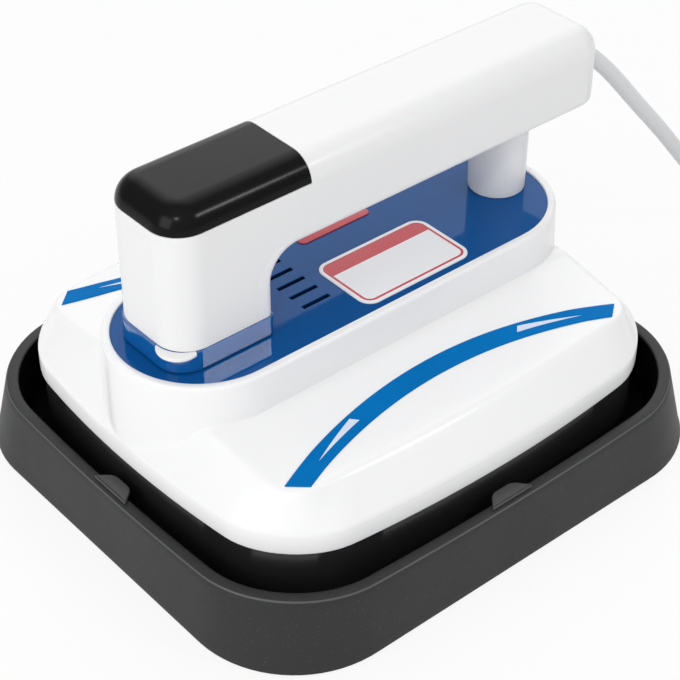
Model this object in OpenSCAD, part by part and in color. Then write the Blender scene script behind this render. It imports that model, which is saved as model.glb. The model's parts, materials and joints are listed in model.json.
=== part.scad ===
// Portable heat press on its base tray. A cast hot plate hangs in a two-part housing,
// a bridge handle with a dark display cap stands on a blue deck, and the mains lead is
// put away in a tied coil. Millimetres, +Z up, +X towards the lead.
// The origin lies on the table, under the middle of the tray.

/* [Housing] */
// Length of the housing at its widest
body_l = 257; // [200:1:340]
// Width of the housing at its widest
body_w = 227; // [170:1:300]
// Corner radius of the housing's outline, before its sides bow
body_corner = 38; // [20:1:50]
// How far the middle of each side bows out past the corners
body_bow = 9.7; // [0:0.1:16]
// Wall of the white shell
shell_wall = 2.5; // [1.6:0.1:4]
// Height of the upright band round the white shell
band_h = 11.4; // [6:0.2:20]
// Rise from the band to the foot of the collar
crown_h = 23.5; // [14:0.5:34]
// Run of the sloping flanks at the shell's long sides
side_run = 15.2; // [12:0.2:20]
// Run of the sloping flanks at the shell's short sides
end_run = 18; // [14:0.2:24]
// Fall of the shell's top from the collar's foot to its shoulder
top_fall = 6; // [2:0.2:9]
// How far the dark skirt sits in from the white shell
skirt_inset = 1.8; // [1:0.1:2.4]
// Height of the dark skirt
skirt_h = 34.1; // [26:0.1:46]
// Wall of the dark skirt
skirt_wall = 2.5; // [1.6:0.1:4]

/* [Deck and collar] */
// Length of the blue deck
deck_l = 247; // [200:1:250]
// Width of the blue deck
deck_w = 85; // [60:1:110]
// Thickness of the deck panel
deck_t = 2.5; // [1.5:0.1:5]
// Height of the deck above the shell's crown
collar_h = 19; // [12:0.5:34]
// Width of the collar's rim round the deck
collar_rim = 3.4; // [2.6:0.1:6]
// How far the collar's rim stands above the deck
rim_proud = 1; // [0.4:0.1:3]
// Number of vent slots
slot_count = 5; // [1:1:7]
// Length of a vent slot
slot_l = 16; // [8:0.5:24]
// Width of a vent slot
slot_w = 2.6; // [1:0.1:4]
// Distance from slot to slot
slot_pitch = 9.1; // [5:0.1:11]
// Length of the blank label plate
label_l = 66.5; // [30:0.5:80]
// Width of the blank label plate
label_w = 39.7; // [20:0.1:44]
// Length of the plain red strip
strip_l = 43.5; // [20:0.5:60]
// Width of the plain red strip
strip_w = 10.6; // [5:0.1:12]

/* [Handle] */
// Width of the handle
handle_w = 52; // [34:0.2:56]
// Height of the handle's beam
beam_h = 40.4; // [30:0.1:50]
// Clear height for fingers between deck and beam
grip_gap = 43; // [32:0.1:60]
// Distance from the middle of the tray to the front of the leg
leg_front = 112.5; // [95:0.5:118]
// Length of the leg, front to back
leg_l = 53; // [44:0.1:70]
// Distance from the middle of the tray to the handle's rear face
handle_rear = 147.5; // [126:0.5:170]
// Corner radius of the leg's front corners, seen from above
leg_corner = 16; // [8:0.5:20]
// Radius of the inner corner between leg and beam
grip_fillet = 15; // [6:0.5:20]
// Radius of the handle's long top edges
top_edge = 12.5; // [4:0.5:14]
// Wall of the handle's shell
handle_wall = 2.5; // [1.6:0.1:3.4]
// Height of the plinth under the leg
plinth_h = 11.5; // [4:0.5:20]
// Length of the display cap
cap_l = 75.5; // [60:0.5:100]
// Height of the display cap
cap_h = 12; // [9:0.1:16]
// Diameter of the rear post at the deck
post_d = 28.6; // [20:0.2:36]
// Distance from the middle of the tray to the rear post
post_x = 103.5; // [70:0.5:106]

/* [Base tray] */
// Gap between housing and tray rim at the short sides
tray_gap_l = 7.1; // [4:0.1:12]
// Gap between housing and tray rim at the long sides
tray_gap_w = 8.1; // [4:0.1:14]
// Height of the tray
tray_h = 37; // [26:0.5:44]
// Width of the tray's flat rim
rim_w = 6; // [4:0.5:12]
// How far the tray's wall leans out from rim to underside
tray_flare = 3.4; // [0:0.1:8]
// Corner radius of the tray's rim, before its sides bow
rim_corner = 51.4; // [30:0.2:60]
// Corner radius of the tray's underside
base_corner = 55.8; // [34:0.2:64]
// How far the middle of each side of the rim bows out
rim_bow = 5; // [0:0.1:10]
// Thickness of the tray's floor
floor_t = 4.2; // [3:0.1:8]
// Thickness of the insulating mat
mat_t = 3; // [1.5:0.1:6]
// Length of a rim tab
tab_l = 25; // [12:0.5:40]
// How far a rim tab reaches over the hollow
tab_reach = 4; // [1:0.1:5]

/* [Hot plate] */
// Thickness of the hot plate
plate_t = 10; // [8:0.5:16]
// Diameter of the tubular heating element
element_d = 8; // [5:0.2:10]
// Half the distance between the element's two runs
element_half = 58; // [40:1:64]

/* [Mains lead] */
// Diameter of the lead
cord_d = 8.5; // [6:0.1:10]
// Outer turns of the coil, measured at the middle of the lead
coil_r = 58; // [50:1:80]
// Distance from turn to turn and from layer to layer
coil_pitch = 9.1; // [9:0.1:12]
// Turns in each of the coil's two layers
layer_turns = 2.5; // [1.5:1:3.5]

/* [Hidden] */
$fn = 48;
arc_steps = 9;
side_steps = 6;
fit = 0.15;
far = 400;

// Heights, from the table up
foot_proud = 0.8;
foot_t = 2.8;
foot_r = 8;
z_tray = foot_proud;
z_rim = z_tray + tray_h;
z_floor = z_tray + floor_t;
z_mat = z_floor + mat_t;
z_plate = z_mat + plate_t;
skirt_lap = 4;
z_skirt = z_plate - skirt_lap;
z_split = z_skirt + skirt_h;
z_band = z_split + band_h;
z_crown = z_band + crown_h;
z_deck = z_crown + collar_h;
z_leg = z_deck + plinth_h;
z_grip = z_deck + grip_gap;
z_top = z_grip + beam_h;
z_cap = z_top - cap_h;

// Outlines, as half lengths and half widths
half_l = body_l / 2;
half_w = body_w / 2;
rim_half_l = half_l + tray_gap_l + rim_w;
rim_half_w = half_w + tray_gap_w + rim_w;
cavity_draft = 1;

// Deck and collar
deck_r = deck_w / 2;
deck_c = deck_l / 2 - deck_r;
collar_r = deck_r + collar_rim;
collar_draft = 0.035;
collar_edge = 1.6;
ledge_t = 2;
ledge_w = 3;
z_ledge = z_deck - deck_t - ledge_t;
slot_x = -29.2;
label_x = 19.1;
label_y = -17.7;
label_t = 0.6;
strip_x = 16.3;
strip_y = 25.6;
round_small = 3;
label_corner = 7;

// Handle
half_h = handle_w / 2;
leg_rear = -leg_front + leg_l;
liner_t = 8.7;
seam_x = leg_rear - liner_t;
cover_t = 3;
rear_corner = 12.5;
plinth_draft = 1;
plinth_inset = 1.5;
cap_rear = -leg_front + cap_l;
cap_wall = 2;
lead_x = -leg_front + 26;
lead_hole_r = 8;
front_boss_x = -leg_front + handle_wall + 4;
rear_boss_x = seam_x - 2.3;
boss_r = 4.5;
boss_h = 20;
cover_screw_x = [-15, 60];
cover_screw_y = -12;
post_taper = 0.7;
lip_drop = 2.4;
lip_shift = 8.7;
lip_r = 10.3;

// Screws
thread_gap = 0.05;
m4_r = 2;
m4_head_r = 4;
m4_head_h = 2.8;
m3_r = 1.5;
m3_head_r = 2.8;
m3_head_h = 2.2;

// Hot plate and what it carries
plate_inset = skirt_inset + skirt_wall + 1.5;
plate_boss_x = half_l - 35;
plate_boss_y = half_w - 41.5;
plate_boss_r = 5;
plate_boss_h = 12;
element_r = element_d / 2;
element_turn_x = -45;
element_end_x = 70;
terminal_r = 3;
terminal_h = 22;
blanket_inset = 12;
shield_t = 1.2;
spacer_h = 2.8;
z_shield = z_plate + plate_boss_h;
z_shelf = z_shield + shield_t + spacer_h;
shelf_t = 2.5;
housing_screw_x = 60;
housing_screw_y = half_w - 28.5;
tongue_h = 4.9;
tongue_t = 1.6;

// Boards
board_t = 1.6;
pillar_h = 11.5;
pillar_x = [-10, 60];
pillar_y = 22;
pillar_r = 3;
z_power = z_deck - deck_t - pillar_h;
shelf_rail = 2.5;
z_board = z_cap - 2.6;
board_half = half_h - handle_wall - 0.7;

// Where the lead leaves the handle
exit_tilt = 32;
exit_z = z_grip + 18.7;
relief_out = 16;
relief_in = 8;
relief_r = 7;
relief_tip_r = 5.2;
inner_lead_r = 3.5;
exit_point = [handle_rear, 0, exit_z];
exit_way = [cos(exit_tilt), 0, -sin(exit_tilt)];
relief_tip = exit_point + relief_out * exit_way;
relief_root = exit_point - relief_in * exit_way;

// The lead's way down to the table and into the coil
cord_low = 5.5;
relief_run = 5;
coil_x = 332;
cord_route = [
    relief_tip, relief_tip + relief_run * exit_way, [170, 0, 148.6], [175.5, 0, 143.3], [181.2, 0, 137.6],
    [190.7, 0, 127.2], [199.3, 0, 117.3], [209.8, 0, 105.4], [220.5, 0, 93.5], [233.6, 0, 78.5],
    [252, 0, 56.5], [268, 0, 38.5], [280, 0, 26], [291, 0, 15.8], [301, 0, 9.2], [309, 0, 6.2],
    [315, 0, cord_low], [coil_x - cord_d, 0, cord_low]
];
coil_y = -coil_r;
coil_inner = coil_r - coil_pitch * layer_turns;
coil_steps = 24;
climb_turns = 0.5;
coil_turns = 2 * layer_turns + climb_turns;
z_upper = cord_low + coil_pitch;
tie_w = 10;
tie_t = 1;
plug_l = 58;
pin_l = 19;
pin_r = 2.4;
pin_half = 9.5;

// Outline helpers

function corner_arc(cx, cy, r, from) = [
    for (i = [0:arc_steps]) [cx + r * cos(from + 90 * i / arc_steps), cy + r * sin(from + 90 * i / arc_steps)]
];

function between(p, q) = [for (i = [1:side_steps - 1]) p + (q - p) * i / side_steps];

// A rectangle with its +X corners rounded by r and its -X corners by front_r
function round_rect(a, b, r, front_r) = let(
    c0 = corner_arc(a - r, b - r, r, 0),
    c1 = corner_arc(front_r - a, b - front_r, front_r, 90),
    c2 = corner_arc(front_r - a, front_r - b, front_r, 180),
    c3 = corner_arc(a - r, r - b, r, 270)
) concat(
    c0, between(c0[arc_steps], c1[0]), c1, between(c1[arc_steps], c2[0]),
    c2, between(c2[arc_steps], c3[0]), c3, between(c3[arc_steps], c0[0])
);

// A rounded rectangle whose sides swell by bow to the given half length and half width
function outline(l, w, r, bow) = let(a = l - bow, b = w - bow) [
    for (p = round_rect(a, b, r, r)) [
        p.x + bow * (1 - pow(p.y / b, 2)) * p.x / a,
        p.y + bow * (1 - pow(p.x / a, 2)) * p.y / b
    ]
];

function housing_outline(inset) =
    outline(half_l - inset, half_w - inset, max(body_corner - inset, 4), body_bow);

function rim_outline(inset) =
    outline(rim_half_l - inset, rim_half_w - inset, max(rim_corner - inset, 4), rim_bow);

function lift(points, z) = [for (p = points) [p.x, p.y, z]];

function middle(points) = [for (p = points) 1] * points / len(points);

// A solid through rings of equally many points, the lowest ring first, closed by two fans
module loft(rings) {
    n = len(rings[0]);
    last = len(rings) - 1;
    low = len(rings) * n;
    sides = [
        for (k = [0:last - 1], i = [0:n - 1]) let(a = k * n + i, b = k * n + (i + 1) % n)
        each [[a, a + n, b + n], [a, b + n, b]]
    ];
    ends = [for (i = [0:n - 1]) let(j = (i + 1) % n) each [[low, i, j], [low + 1, last * n + j, last * n + i]]];
    polyhedron(
        points = concat([for (ring = rings) each ring], [middle(rings[0]), middle(rings[last])]),
        faces = concat(sides, ends)
    );
}

module slab(points, z, h) {
    translate([0, 0, z]) linear_extrude(h) polygon(points);
}

// A flat bar with round ends, centred on the middle of the tray
module bar(c, r, z, h) {
    translate([-c, -r, z]) cube([2 * c, 2 * r, h]);
    for (x = [-c, c]) translate([x, 0, z]) cylinder(r = r, h = h);
}

module at_corners(x, y) {
    for (sx = [-1, 1], sy = [-1, 1]) translate([sx * x, sy * y, 0]) children();
}

// Tubes along points

function unit(v) = v / norm(v);

function way(points, i) = let(last = len(points) - 1)
    unit(points[min(i + 1, last)] - points[max(i - 1, 0)]);

// A round tube along points, whose way is never along ref
module tube(points, r, sides, ref) {
    n = len(points);
    rings = [
        for (i = [0:n - 1]) let(t = way(points, i), u = unit(cross(t, ref)), v = cross(u, t))
        for (k = [0:sides - 1]) points[i] + r * (cos(360 * k / sides) * u + sin(360 * k / sides) * v)
    ];
    walls = [
        for (i = [0:n - 2], k = [0:sides - 1])
        let(a = i * sides + k, b = i * sides + (k + 1) % sides)
        each [[a, b, b + sides], [a, b + sides, a + sides]]
    ];
    near_end = [for (k = [1:sides - 2]) [0, k + 1, k]];
    last = (n - 1) * sides;
    far_end = [for (k = [1:sides - 2]) [last, last + k, last + k + 1]];
    polyhedron(points = rings, faces = concat(walls, near_end, far_end));
}

// The shell's crown

shoulder_l = half_l - end_run;
shoulder_w = half_w - side_run;
shoulder_corner = 12;
shoulder_bow = 4.5;
shoulder_ease = 4;
ease_steps = 4;
top_sweep = 1.8;
end_fall = 0.05;
end_flat = 80;
top_shares = [0.9, 0.82, 0.74, 0.66, 0.58, 0.5, 0.4, 0.2];

// Height of the top, which sweeps down from the collar's foot to the shoulder
function top_z(x, y) = let(out = min(max((shoulder_w - abs(y)) / (shoulder_w - collar_r), 0), 1))
    z_crown - top_fall * (1 - pow(out, top_sweep)) - end_fall * max(abs(x) - end_flat, 0);

function on_top(p, share, drop) =
    [p.x * share, p.y * share, top_z(p.x * share, p.y * share) - drop];

// A ring round the shoulder, eased from the flank at t = 0 to the top at t = 1
function eased_ring(edge, rim, drop, t) = [
    for (i = [0:len(rim) - 1]) let(
        s = on_top(rim[i], 1, drop),
        low = s + shoulder_ease * unit([edge[i].x, edge[i].y, z_band - drop] - s),
        high = s + shoulder_ease * unit(on_top(rim[i], top_shares[0], drop) - s)
    ) pow(1 - t, 2) * low + 2 * t * (1 - t) * s + t * t * high
];

// The crowned block that the white shell is cut from, shrunk by inset on every side
module crown_block(inset, low) {
    edge = housing_outline(inset);
    rim = outline(shoulder_l - inset, shoulder_w - inset, shoulder_corner - inset, shoulder_bow);
    eased = [for (k = [0:ease_steps]) eased_ring(edge, rim, inset, k / ease_steps)];
    tops = [for (share = top_shares) [for (p = rim) on_top(p, share, inset)]];
    loft(concat([lift(edge, low), lift(edge, z_band - inset)], eased, tops));
}

// Arc trim

arc_inner_l = shoulder_l - 9.5;
arc_outer_l = shoulder_l - 18;
arc_inner_mid = shoulder_w - 35;
arc_outer_mid = shoulder_w - 24.7;
arc_inner_sag = 23;
arc_outer_sag = 19.3;
arc_seat = 0.9;
arc_proud = 0.6;
arc_parts = 24;

// A strip that follows the crown, from below the surface to above it, widened by grow
module arc_strip(below, above, grow) {
    rings = [
        for (i = [0:arc_parts]) let(
            u = 2 * i / arc_parts - 1,
            xi = u * (arc_inner_l + grow),
            xo = u * (arc_outer_l + grow),
            yi = grow - arc_inner_mid - arc_inner_sag * u * u,
            yo = -grow - arc_outer_mid - arc_outer_sag * u * u,
            zi = top_z(xi, yi),
            zo = top_z(xo, yo)
        ) [[xi, yi, zi - below], [xi, yi, zi + above], [xo, yo, zo + above], [xo, yo, zo - below]]
    ];
    loft(rings);
}

// Handle

module leg_plan(inset, rear) {
    l = (rear + leg_front) / 2 - inset;
    translate([(rear - leg_front) / 2, 0])
        polygon(round_rect(l, half_h - inset, max(rear_corner - inset, 1), leg_corner - inset));
}

module handle_side(inset) {
    offset(delta = -inset) intersection() {
        union() {
            translate([-leg_front, z_leg]) square([leg_l, z_top - z_leg]);
            translate([-leg_front, z_grip]) square([leg_front + handle_rear, beam_h]);
            difference() {
                translate([leg_rear - 1, z_grip - grip_fillet]) square([grip_fillet + 1, grip_fillet + 1]);
                translate([leg_rear + grip_fillet, z_grip - grip_fillet]) circle(r = grip_fillet);
            }
        }
        offset(r = top_edge) offset(delta = -top_edge)
            translate([-leg_front, z_deck - far]) square([leg_front + handle_rear, z_top - z_deck + far]);
    }
}

module handle_cross(inset) {
    offset(r = top_edge - inset) offset(delta = -top_edge)
        translate([-half_h, z_deck - far]) square([handle_w, z_top - z_deck + far]);
}

// The whole handle as one solid, shrunk by inset on every side
module handle_form(inset) {
    intersection() {
        translate([0, 0, z_deck]) linear_extrude(z_top) leg_plan(inset, handle_rear);
        rotate([90, 0, 0]) linear_extrude(handle_w, center = true) handle_side(inset);
        rotate([90, 0, 90]) linear_extrude(2 * far, center = true) handle_cross(inset);
    }
}

// Room of the liner: the rear of the leg and the inner corner under the beam
module liner_room(grow) {
    translate([seam_x - grow, -far, z_leg - 1])
        cube([liner_t + grip_fillet + 2 * grow, 2 * far, z_grip - z_leg + 1]);
}

module cap_room(grow) {
    translate([-far, -far, z_cap - grow]) cube([far + cap_rear + grow, 2 * far, far]);
}

module cover_plate(grow) {
    translate([seam_x + 1 - grow, -half_h + handle_wall + fit - grow, z_grip - grow])
        cube([handle_rear - handle_wall - fit - seam_x - 1 + 2 * grow,
              handle_w - 2 * (handle_wall + fit) + 2 * grow, cover_t + grow]);
}

// Base tray

module base_tray() {
    color("#46474a") difference() {
        loft([
            lift(outline(rim_half_l + tray_flare, rim_half_w + tray_flare, base_corner, 0), z_tray),
            lift(rim_outline(0), z_rim)
        ]);
        loft([lift(rim_outline(rim_w + cavity_draft), z_floor), lift(rim_outline(rim_w), z_rim + fit)]);
        at_corners(half_l - 20, half_w - 18) cylinder(r = foot_r + fit, h = foot_t);
    }
}

tab_t = 1.2;
tab_seat = 3.6;
tab_shift = -2.5;
tab_nose = 8;

// A rounded flap that lies on the rim and points at the hollow
module rim_tab() {
    linear_extrude(tab_t) polygon([
        [-tab_l / 2, 0], [tab_l / 2, 0], [tab_l / 2 - 2, 2.4], [tab_nose, tab_seat + tab_reach - 1.4],
        [tab_nose - 3, tab_seat + tab_reach], [3 - tab_nose, tab_seat + tab_reach],
        [-tab_nose, tab_seat + tab_reach - 1.4], [2 - tab_l / 2, 2.4]
    ]);
}

module tray_tabs() {
    color("#4c4d50") {
        for (s = [-1, 1]) {
            translate([tab_shift, -s * (rim_half_w - rim_w + tab_seat), z_rim])
                rotate([0, 0, s > 0 ? 0 : 180]) rim_tab();
            translate([-s * (rim_half_l - rim_w + tab_seat), tab_shift, z_rim])
                rotate([0, 0, -90 * s]) rim_tab();
        }
    }
}

module tray_mat() {
    color("#0c0c0d") slab(rim_outline(rim_w + cavity_draft + 1), z_floor, mat_t);
}

module tray_feet() {
    color("#1a1a1a") at_corners(half_l - 20, half_w - 18) cylinder(r = foot_r, h = foot_t);
}

// Hot plate

module element_path(r) {
    for (s = [-1, 1])
        translate([element_turn_x, s * element_half, z_plate])
            rotate([0, 90, 0]) cylinder(r = r, h = element_end_x - element_turn_x + r);
    translate([element_turn_x, 0, z_plate])
        rotate([0, 0, 90]) rotate_extrude(angle = 180) translate([element_half, 0]) circle(r = r);
}

module heating_plate() {
    color("#8d9094") difference() {
        union() {
            slab(housing_outline(plate_inset), z_mat, plate_t);
            at_corners(plate_boss_x, plate_boss_y) translate([0, 0, z_plate - 1])
                cylinder(r = plate_boss_r, h = plate_boss_h + 1);
        }
        element_path(element_r + fit);
        at_corners(plate_boss_x, plate_boss_y) translate([0, 0, z_plate + 2])
            cylinder(r = m4_r + thread_gap, h = plate_boss_h);
    }
}

module heating_element() {
    color("#b9bbbd") {
        element_path(element_r);
        for (s = [-1, 1]) translate([element_end_x, s * element_half, z_plate])
            cylinder(r = terminal_r, h = terminal_h);
    }
}

module thermal_fuse() {
    fuse_r = 1.9;
    fuse_l = 22;
    color("#d8d4c6") translate([-fuse_l / 2, -20, z_plate + fuse_r])
        rotate([0, 90, 0]) cylinder(r = fuse_r, h = fuse_l);
}

module heat_sensor() {
    sensor_r = 1.6;
    color("#a9762f") translate([30, 14, z_plate + sensor_r])
        rotate([0, 90, 0]) cylinder(r = sensor_r, h = 9);
}

module insulation_blanket() {
    low = z_plate + element_r + fit;
    color("#e4e0d3") difference() {
        slab(housing_outline(plate_inset + blanket_inset), low, z_shield - low);
        at_corners(plate_boss_x, plate_boss_y) translate([0, 0, z_plate])
            cylinder(r = plate_boss_r + 0.5, h = plate_boss_h + 1);
        for (s = [-1, 1]) translate([element_end_x, s * element_half, z_plate])
            cylinder(r = terminal_r + 0.5, h = terminal_h);
    }
}

module heat_shield() {
    color("#b4b7ba") difference() {
        slab(housing_outline(plate_inset + blanket_inset), z_shield, shield_t);
        at_corners(plate_boss_x, plate_boss_y) translate([0, 0, z_shield - 1])
            cylinder(r = m4_r + 0.3, h = shield_t + 2);
        for (s = [-1, 1]) translate([element_end_x, s * element_half, z_plate])
            cylinder(r = terminal_r + 1.5, h = terminal_h);
    }
}

module plate_spacers() {
    color("#c9ccce") at_corners(plate_boss_x, plate_boss_y) translate([0, 0, z_shield + shield_t])
        difference() {
            cylinder(r = plate_boss_r, h = spacer_h);
            translate([0, 0, -1]) cylinder(r = m4_r + 0.3, h = spacer_h + 2);
        }
}

module plate_screws() {
    color("#9b9ea1") at_corners(plate_boss_x, plate_boss_y) translate([0, 0, z_shelf + shelf_t]) {
        cylinder(r = m4_head_r, h = m4_head_h);
        translate([0, 0, -15]) cylinder(r = m4_r, h = 15);
    }
}

// Housing

module lower_housing() {
    inner = skirt_inset + skirt_wall;
    color("#232426") difference() {
        union() {
            slab(housing_outline(skirt_inset), z_skirt, skirt_h);
            slab(housing_outline(shell_wall + fit), z_split - 1, tongue_h + 1);
        }
        slab(housing_outline(inner), z_skirt - 1, z_shelf - z_skirt + 1);
        slab(housing_outline(shell_wall + fit + tongue_t), z_shelf + shelf_t, far);
        bar(element_end_x - 20, element_half - 16, z_shelf - 1, shelf_t + 2);
        for (s = [-1, 1]) translate([element_end_x, s * element_half, z_shelf - 1])
            cylinder(r = terminal_r + 2, h = shelf_t + 2);
        at_corners(plate_boss_x, plate_boss_y) translate([0, 0, z_shelf - 1])
            cylinder(r = m4_r + 0.3, h = shelf_t + 2);
        at_corners(housing_screw_x, housing_screw_y) translate([0, 0, z_shelf - 1])
            cylinder(r = m3_r + 0.2, h = shelf_t + 2);
    }
}

// Half of the collar's section: a drafted wall with an eased upper edge
function collar_section() = let(z_edge = z_deck + rim_proud) [
    [0, z_band], [collar_r + collar_draft * (z_deck - z_band), z_band], [collar_r, z_edge - collar_edge],
    for (i = [1:4]) [collar_r - collar_edge * (1 - cos(22.5 * i)), z_edge - collar_edge * (1 - sin(22.5 * i))],
    [0, z_edge]
];

module collar_block() {
    for (x = [-deck_c, deck_c]) translate([x, 0, 0]) rotate_extrude() polygon(collar_section());
    rotate([90, 0, 90]) translate([0, 0, -deck_c]) linear_extrude(2 * deck_c)
        for (s = [0, 1]) mirror([s, 0]) polygon(collar_section());
}

module upper_shell() {
    boss_top = top_z(housing_screw_x, housing_screw_y) - shell_wall + 1;
    color("#f4f4f5") difference() {
        union() {
            difference() {
                union() {
                    crown_block(0, z_split);
                    collar_block();
                }
                crown_block(shell_wall, z_split - 1);
            }
            at_corners(housing_screw_x, housing_screw_y) translate([0, 0, z_shelf + shelf_t])
                cylinder(r = 4, h = boss_top - z_shelf - shelf_t);
        }
        bar(deck_c, deck_r + collar_rim - shell_wall, z_split - 1, z_ledge - z_split + 1);
        bar(deck_c, deck_r - ledge_w, z_split, far);
        bar(deck_c, deck_r, z_ledge + ledge_t, far);
        at_corners(housing_screw_x, housing_screw_y) translate([0, 0, z_shelf])
            cylinder(r = m3_r + thread_gap, h = 16);
        for (s = [0, 1]) mirror([0, s, 0]) arc_strip(arc_seat + 0.1, 3, 0.1);
    }
}

module housing_screws() {
    color("#9b9ea1") at_corners(housing_screw_x, housing_screw_y) {
        translate([0, 0, z_shelf - m3_head_h]) cylinder(r = m3_head_r, h = m3_head_h);
        translate([0, 0, z_shelf]) cylinder(r = m3_r, h = 14);
    }
}

// Deck and trim

module deck_panel() {
    color("#0a3f8c") difference() {
        union() {
            bar(deck_c, deck_r - fit, z_deck - deck_t, deck_t);
            for (x = pillar_x, s = [-1, 1]) translate([x, s * pillar_y, z_power])
                cylinder(r = pillar_r, h = pillar_h + 1);
        }
        for (i = [0:slot_count - 1])
            translate([slot_x, (i - (slot_count - 1) / 2) * slot_pitch, z_deck - deck_t / 2])
                cube([slot_l, slot_w, deck_t + 2], center = true);
        translate([lead_x, 0, z_deck - deck_t - 1]) cylinder(r = lead_hole_r, h = deck_t + 2);
        for (x = [front_boss_x, rear_boss_x, post_x]) translate([x, 0, z_deck - deck_t - 1])
            cylinder(r = m4_r + 0.2, h = deck_t + 2);
        for (x = pillar_x, s = [-1, 1]) translate([x, s * pillar_y, z_power - 1])
            cylinder(r = m3_r + thread_gap, h = 9);
    }
}

module plinth_block() {
    l = leg_l / 2;
    w = half_h - plinth_inset;
    r = leg_corner - plinth_inset;
    translate([-leg_front + l, 0, 0]) loft([
        lift(round_rect(l + plinth_draft, w + plinth_draft, 3, r), z_deck),
        lift(round_rect(l, w, 3, r), z_leg)
    ]);
}

module leg_plinth() {
    color("#1450a8") difference() {
        plinth_block();
        translate([lead_x, 0, z_deck - 1]) cylinder(r = lead_hole_r, h = plinth_h + 2);
        for (x = [front_boss_x, rear_boss_x]) translate([x, 0, z_deck - 1])
            cylinder(r = m4_r + 0.2, h = plinth_h + 2);
    }
}

module plate_on_deck(x, y, l, w, r, t) {
    translate([x, y, z_deck]) linear_extrude(t) polygon(round_rect(l / 2, w / 2, r, r));
}

module label_plate() {
    color("#eceef0") plate_on_deck(label_x, label_y, label_l, label_w, label_corner, label_t);
}

module red_strip() {
    color("#d8454f") plate_on_deck(strip_x, strip_y, strip_l, strip_w, round_small, label_t);
}

module arc_trim_near() {
    color("#0f6cc4") arc_strip(arc_seat, arc_proud, 0);
}

module arc_trim_far() {
    color("#0f6cc4") mirror([0, 1, 0]) arc_strip(arc_seat, arc_proud, 0);
}

// Handle pieces

module handle_shell() {
    rail = 2.4;
    color("#f6f6f7") difference() {
        union() {
            difference() {
                handle_form(0);
                handle_form(handle_wall);
                translate([0, 0, z_leg - 1]) linear_extrude(handle_wall + 2) leg_plan(handle_wall, handle_rear);
            }
            translate([front_boss_x, 0, z_leg]) cylinder(r = boss_r, h = boss_h);
            intersection() {
                handle_form(handle_wall / 2);
                union() {
                    for (x = cover_screw_x) translate([x, cover_screw_y, z_grip + cover_t])
                        cylinder(r = 4, h = beam_h);
                    for (s = [-1, 1])
                        translate([-leg_front + 8, s * (board_half + 0.4) - rail / 2, z_board - rail])
                            cube([cap_l - 14, rail, rail]);
                }
            }
        }
        liner_room(fit);
        cover_plate(fit);
        cap_room(0);
        for (x = cover_screw_x) translate([x, cover_screw_y, z_grip]) cylinder(r = m3_r + thread_gap, h = 16);
        translate([front_boss_x, 0, z_leg - 1]) cylinder(r = m4_r + thread_gap, h = 17);
        translate(exit_point) rotate([0, 90 + exit_tilt, 0]) translate([0, 0, -12])
            cylinder(r = relief_r + fit, h = 24);
    }
}

module handle_liner() {
    color("#e9e8ee") difference() {
        union() {
            intersection() {
                handle_form(0);
                liner_room(0);
            }
            cover_plate(0);
            translate([seam_x + 1, -half_h + handle_wall + fit, z_grip - 2])
                cube([liner_t, handle_w - 2 * (handle_wall + fit), 3]);
            translate([rear_boss_x, 0, z_leg]) cylinder(r = boss_r, h = boss_h);
            translate([post_x, 0, z_grip + 1]) cylinder(r = 5, h = 9);
        }
        for (x = cover_screw_x) translate([x, cover_screw_y, z_grip - 1]) {
            cylinder(r = m3_r + 0.2, h = cover_t + 2);
            cylinder(r = m3_head_r + 0.2, h = m3_head_h - 0.7);
        }
        translate([rear_boss_x, 0, z_leg - 1]) cylinder(r = m4_r + thread_gap, h = 17);
        translate([post_x, 0, z_grip - 1]) cylinder(r = m4_r + thread_gap, h = 13);
    }
}

// A small crescent that overhangs the near front corner of the plinth
module toe_lip() {
    x = -leg_front + leg_corner;
    y = leg_corner - half_h;
    color("#f2f2f3") difference() {
        translate([x - lip_shift, y - lip_shift / 1.5, z_leg - lip_drop]) cylinder(r = lip_r, h = lip_drop);
        plinth_block();
        translate([x - 5.5, -far, z_deck]) cube([far, 2 * far, far]);
        translate([-far, y - 1, z_deck]) cube([2 * far, far, far]);
    }
}

module display_cap() {
    color("#0b0b0c") difference() {
        intersection() {
            handle_form(0);
            cap_room(-fit);
        }
        handle_form(cap_wall);
    }
}

module rear_post() {
    color("#f2f1f6") translate([post_x, 0, 0]) difference() {
        translate([0, 0, z_deck]) cylinder(r1 = post_d / 2, r2 = post_d / 2 + post_taper, h = grip_gap);
        translate([0, 0, z_deck - 1]) cylinder(r = m4_r + 0.3, h = grip_gap + 2);
    }
}

module leg_screws() {
    color("#9b9ea1") for (x = [front_boss_x, rear_boss_x]) translate([x, 0, z_deck - deck_t]) {
        translate([0, 0, -m4_head_h]) cylinder(r = m4_head_r, h = m4_head_h);
        cylinder(r = m4_r, h = deck_t + plinth_h + 14);
    }
}

module post_screw() {
    color("#9b9ea1") translate([post_x, 0, z_deck - deck_t]) {
        translate([0, 0, -m4_head_h]) cylinder(r = m4_head_r, h = m4_head_h);
        cylinder(r = m4_r, h = deck_t + grip_gap + 8);
    }
}

module liner_screws() {
    color("#9b9ea1") for (x = cover_screw_x) translate([x, cover_screw_y, z_grip + m3_head_h - 1.7]) {
        translate([0, 0, -0.5]) cylinder(r = m3_head_r, h = 0.5);
        cylinder(r = m3_r, h = 13);
    }
}

// Boards and wiring

module control_board() {
    color("#1d6b3c") translate([-leg_front + 13, -board_half, z_board])
        cube([cap_l - 21, 2 * board_half, board_t]);
}

module display_module() {
    color("#1b1b1d") translate([-leg_front + 38, -13, z_board + board_t]) cube([30, 26, 6]);
}

module touch_pads() {
    pad_h = z_top - cap_wall - z_board - board_t;
    color("#303033") for (y = [-10, 0, 10]) translate([-leg_front + 24, y, z_board + board_t])
        cylinder(r = 2.5, h = pad_h);
}

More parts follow.
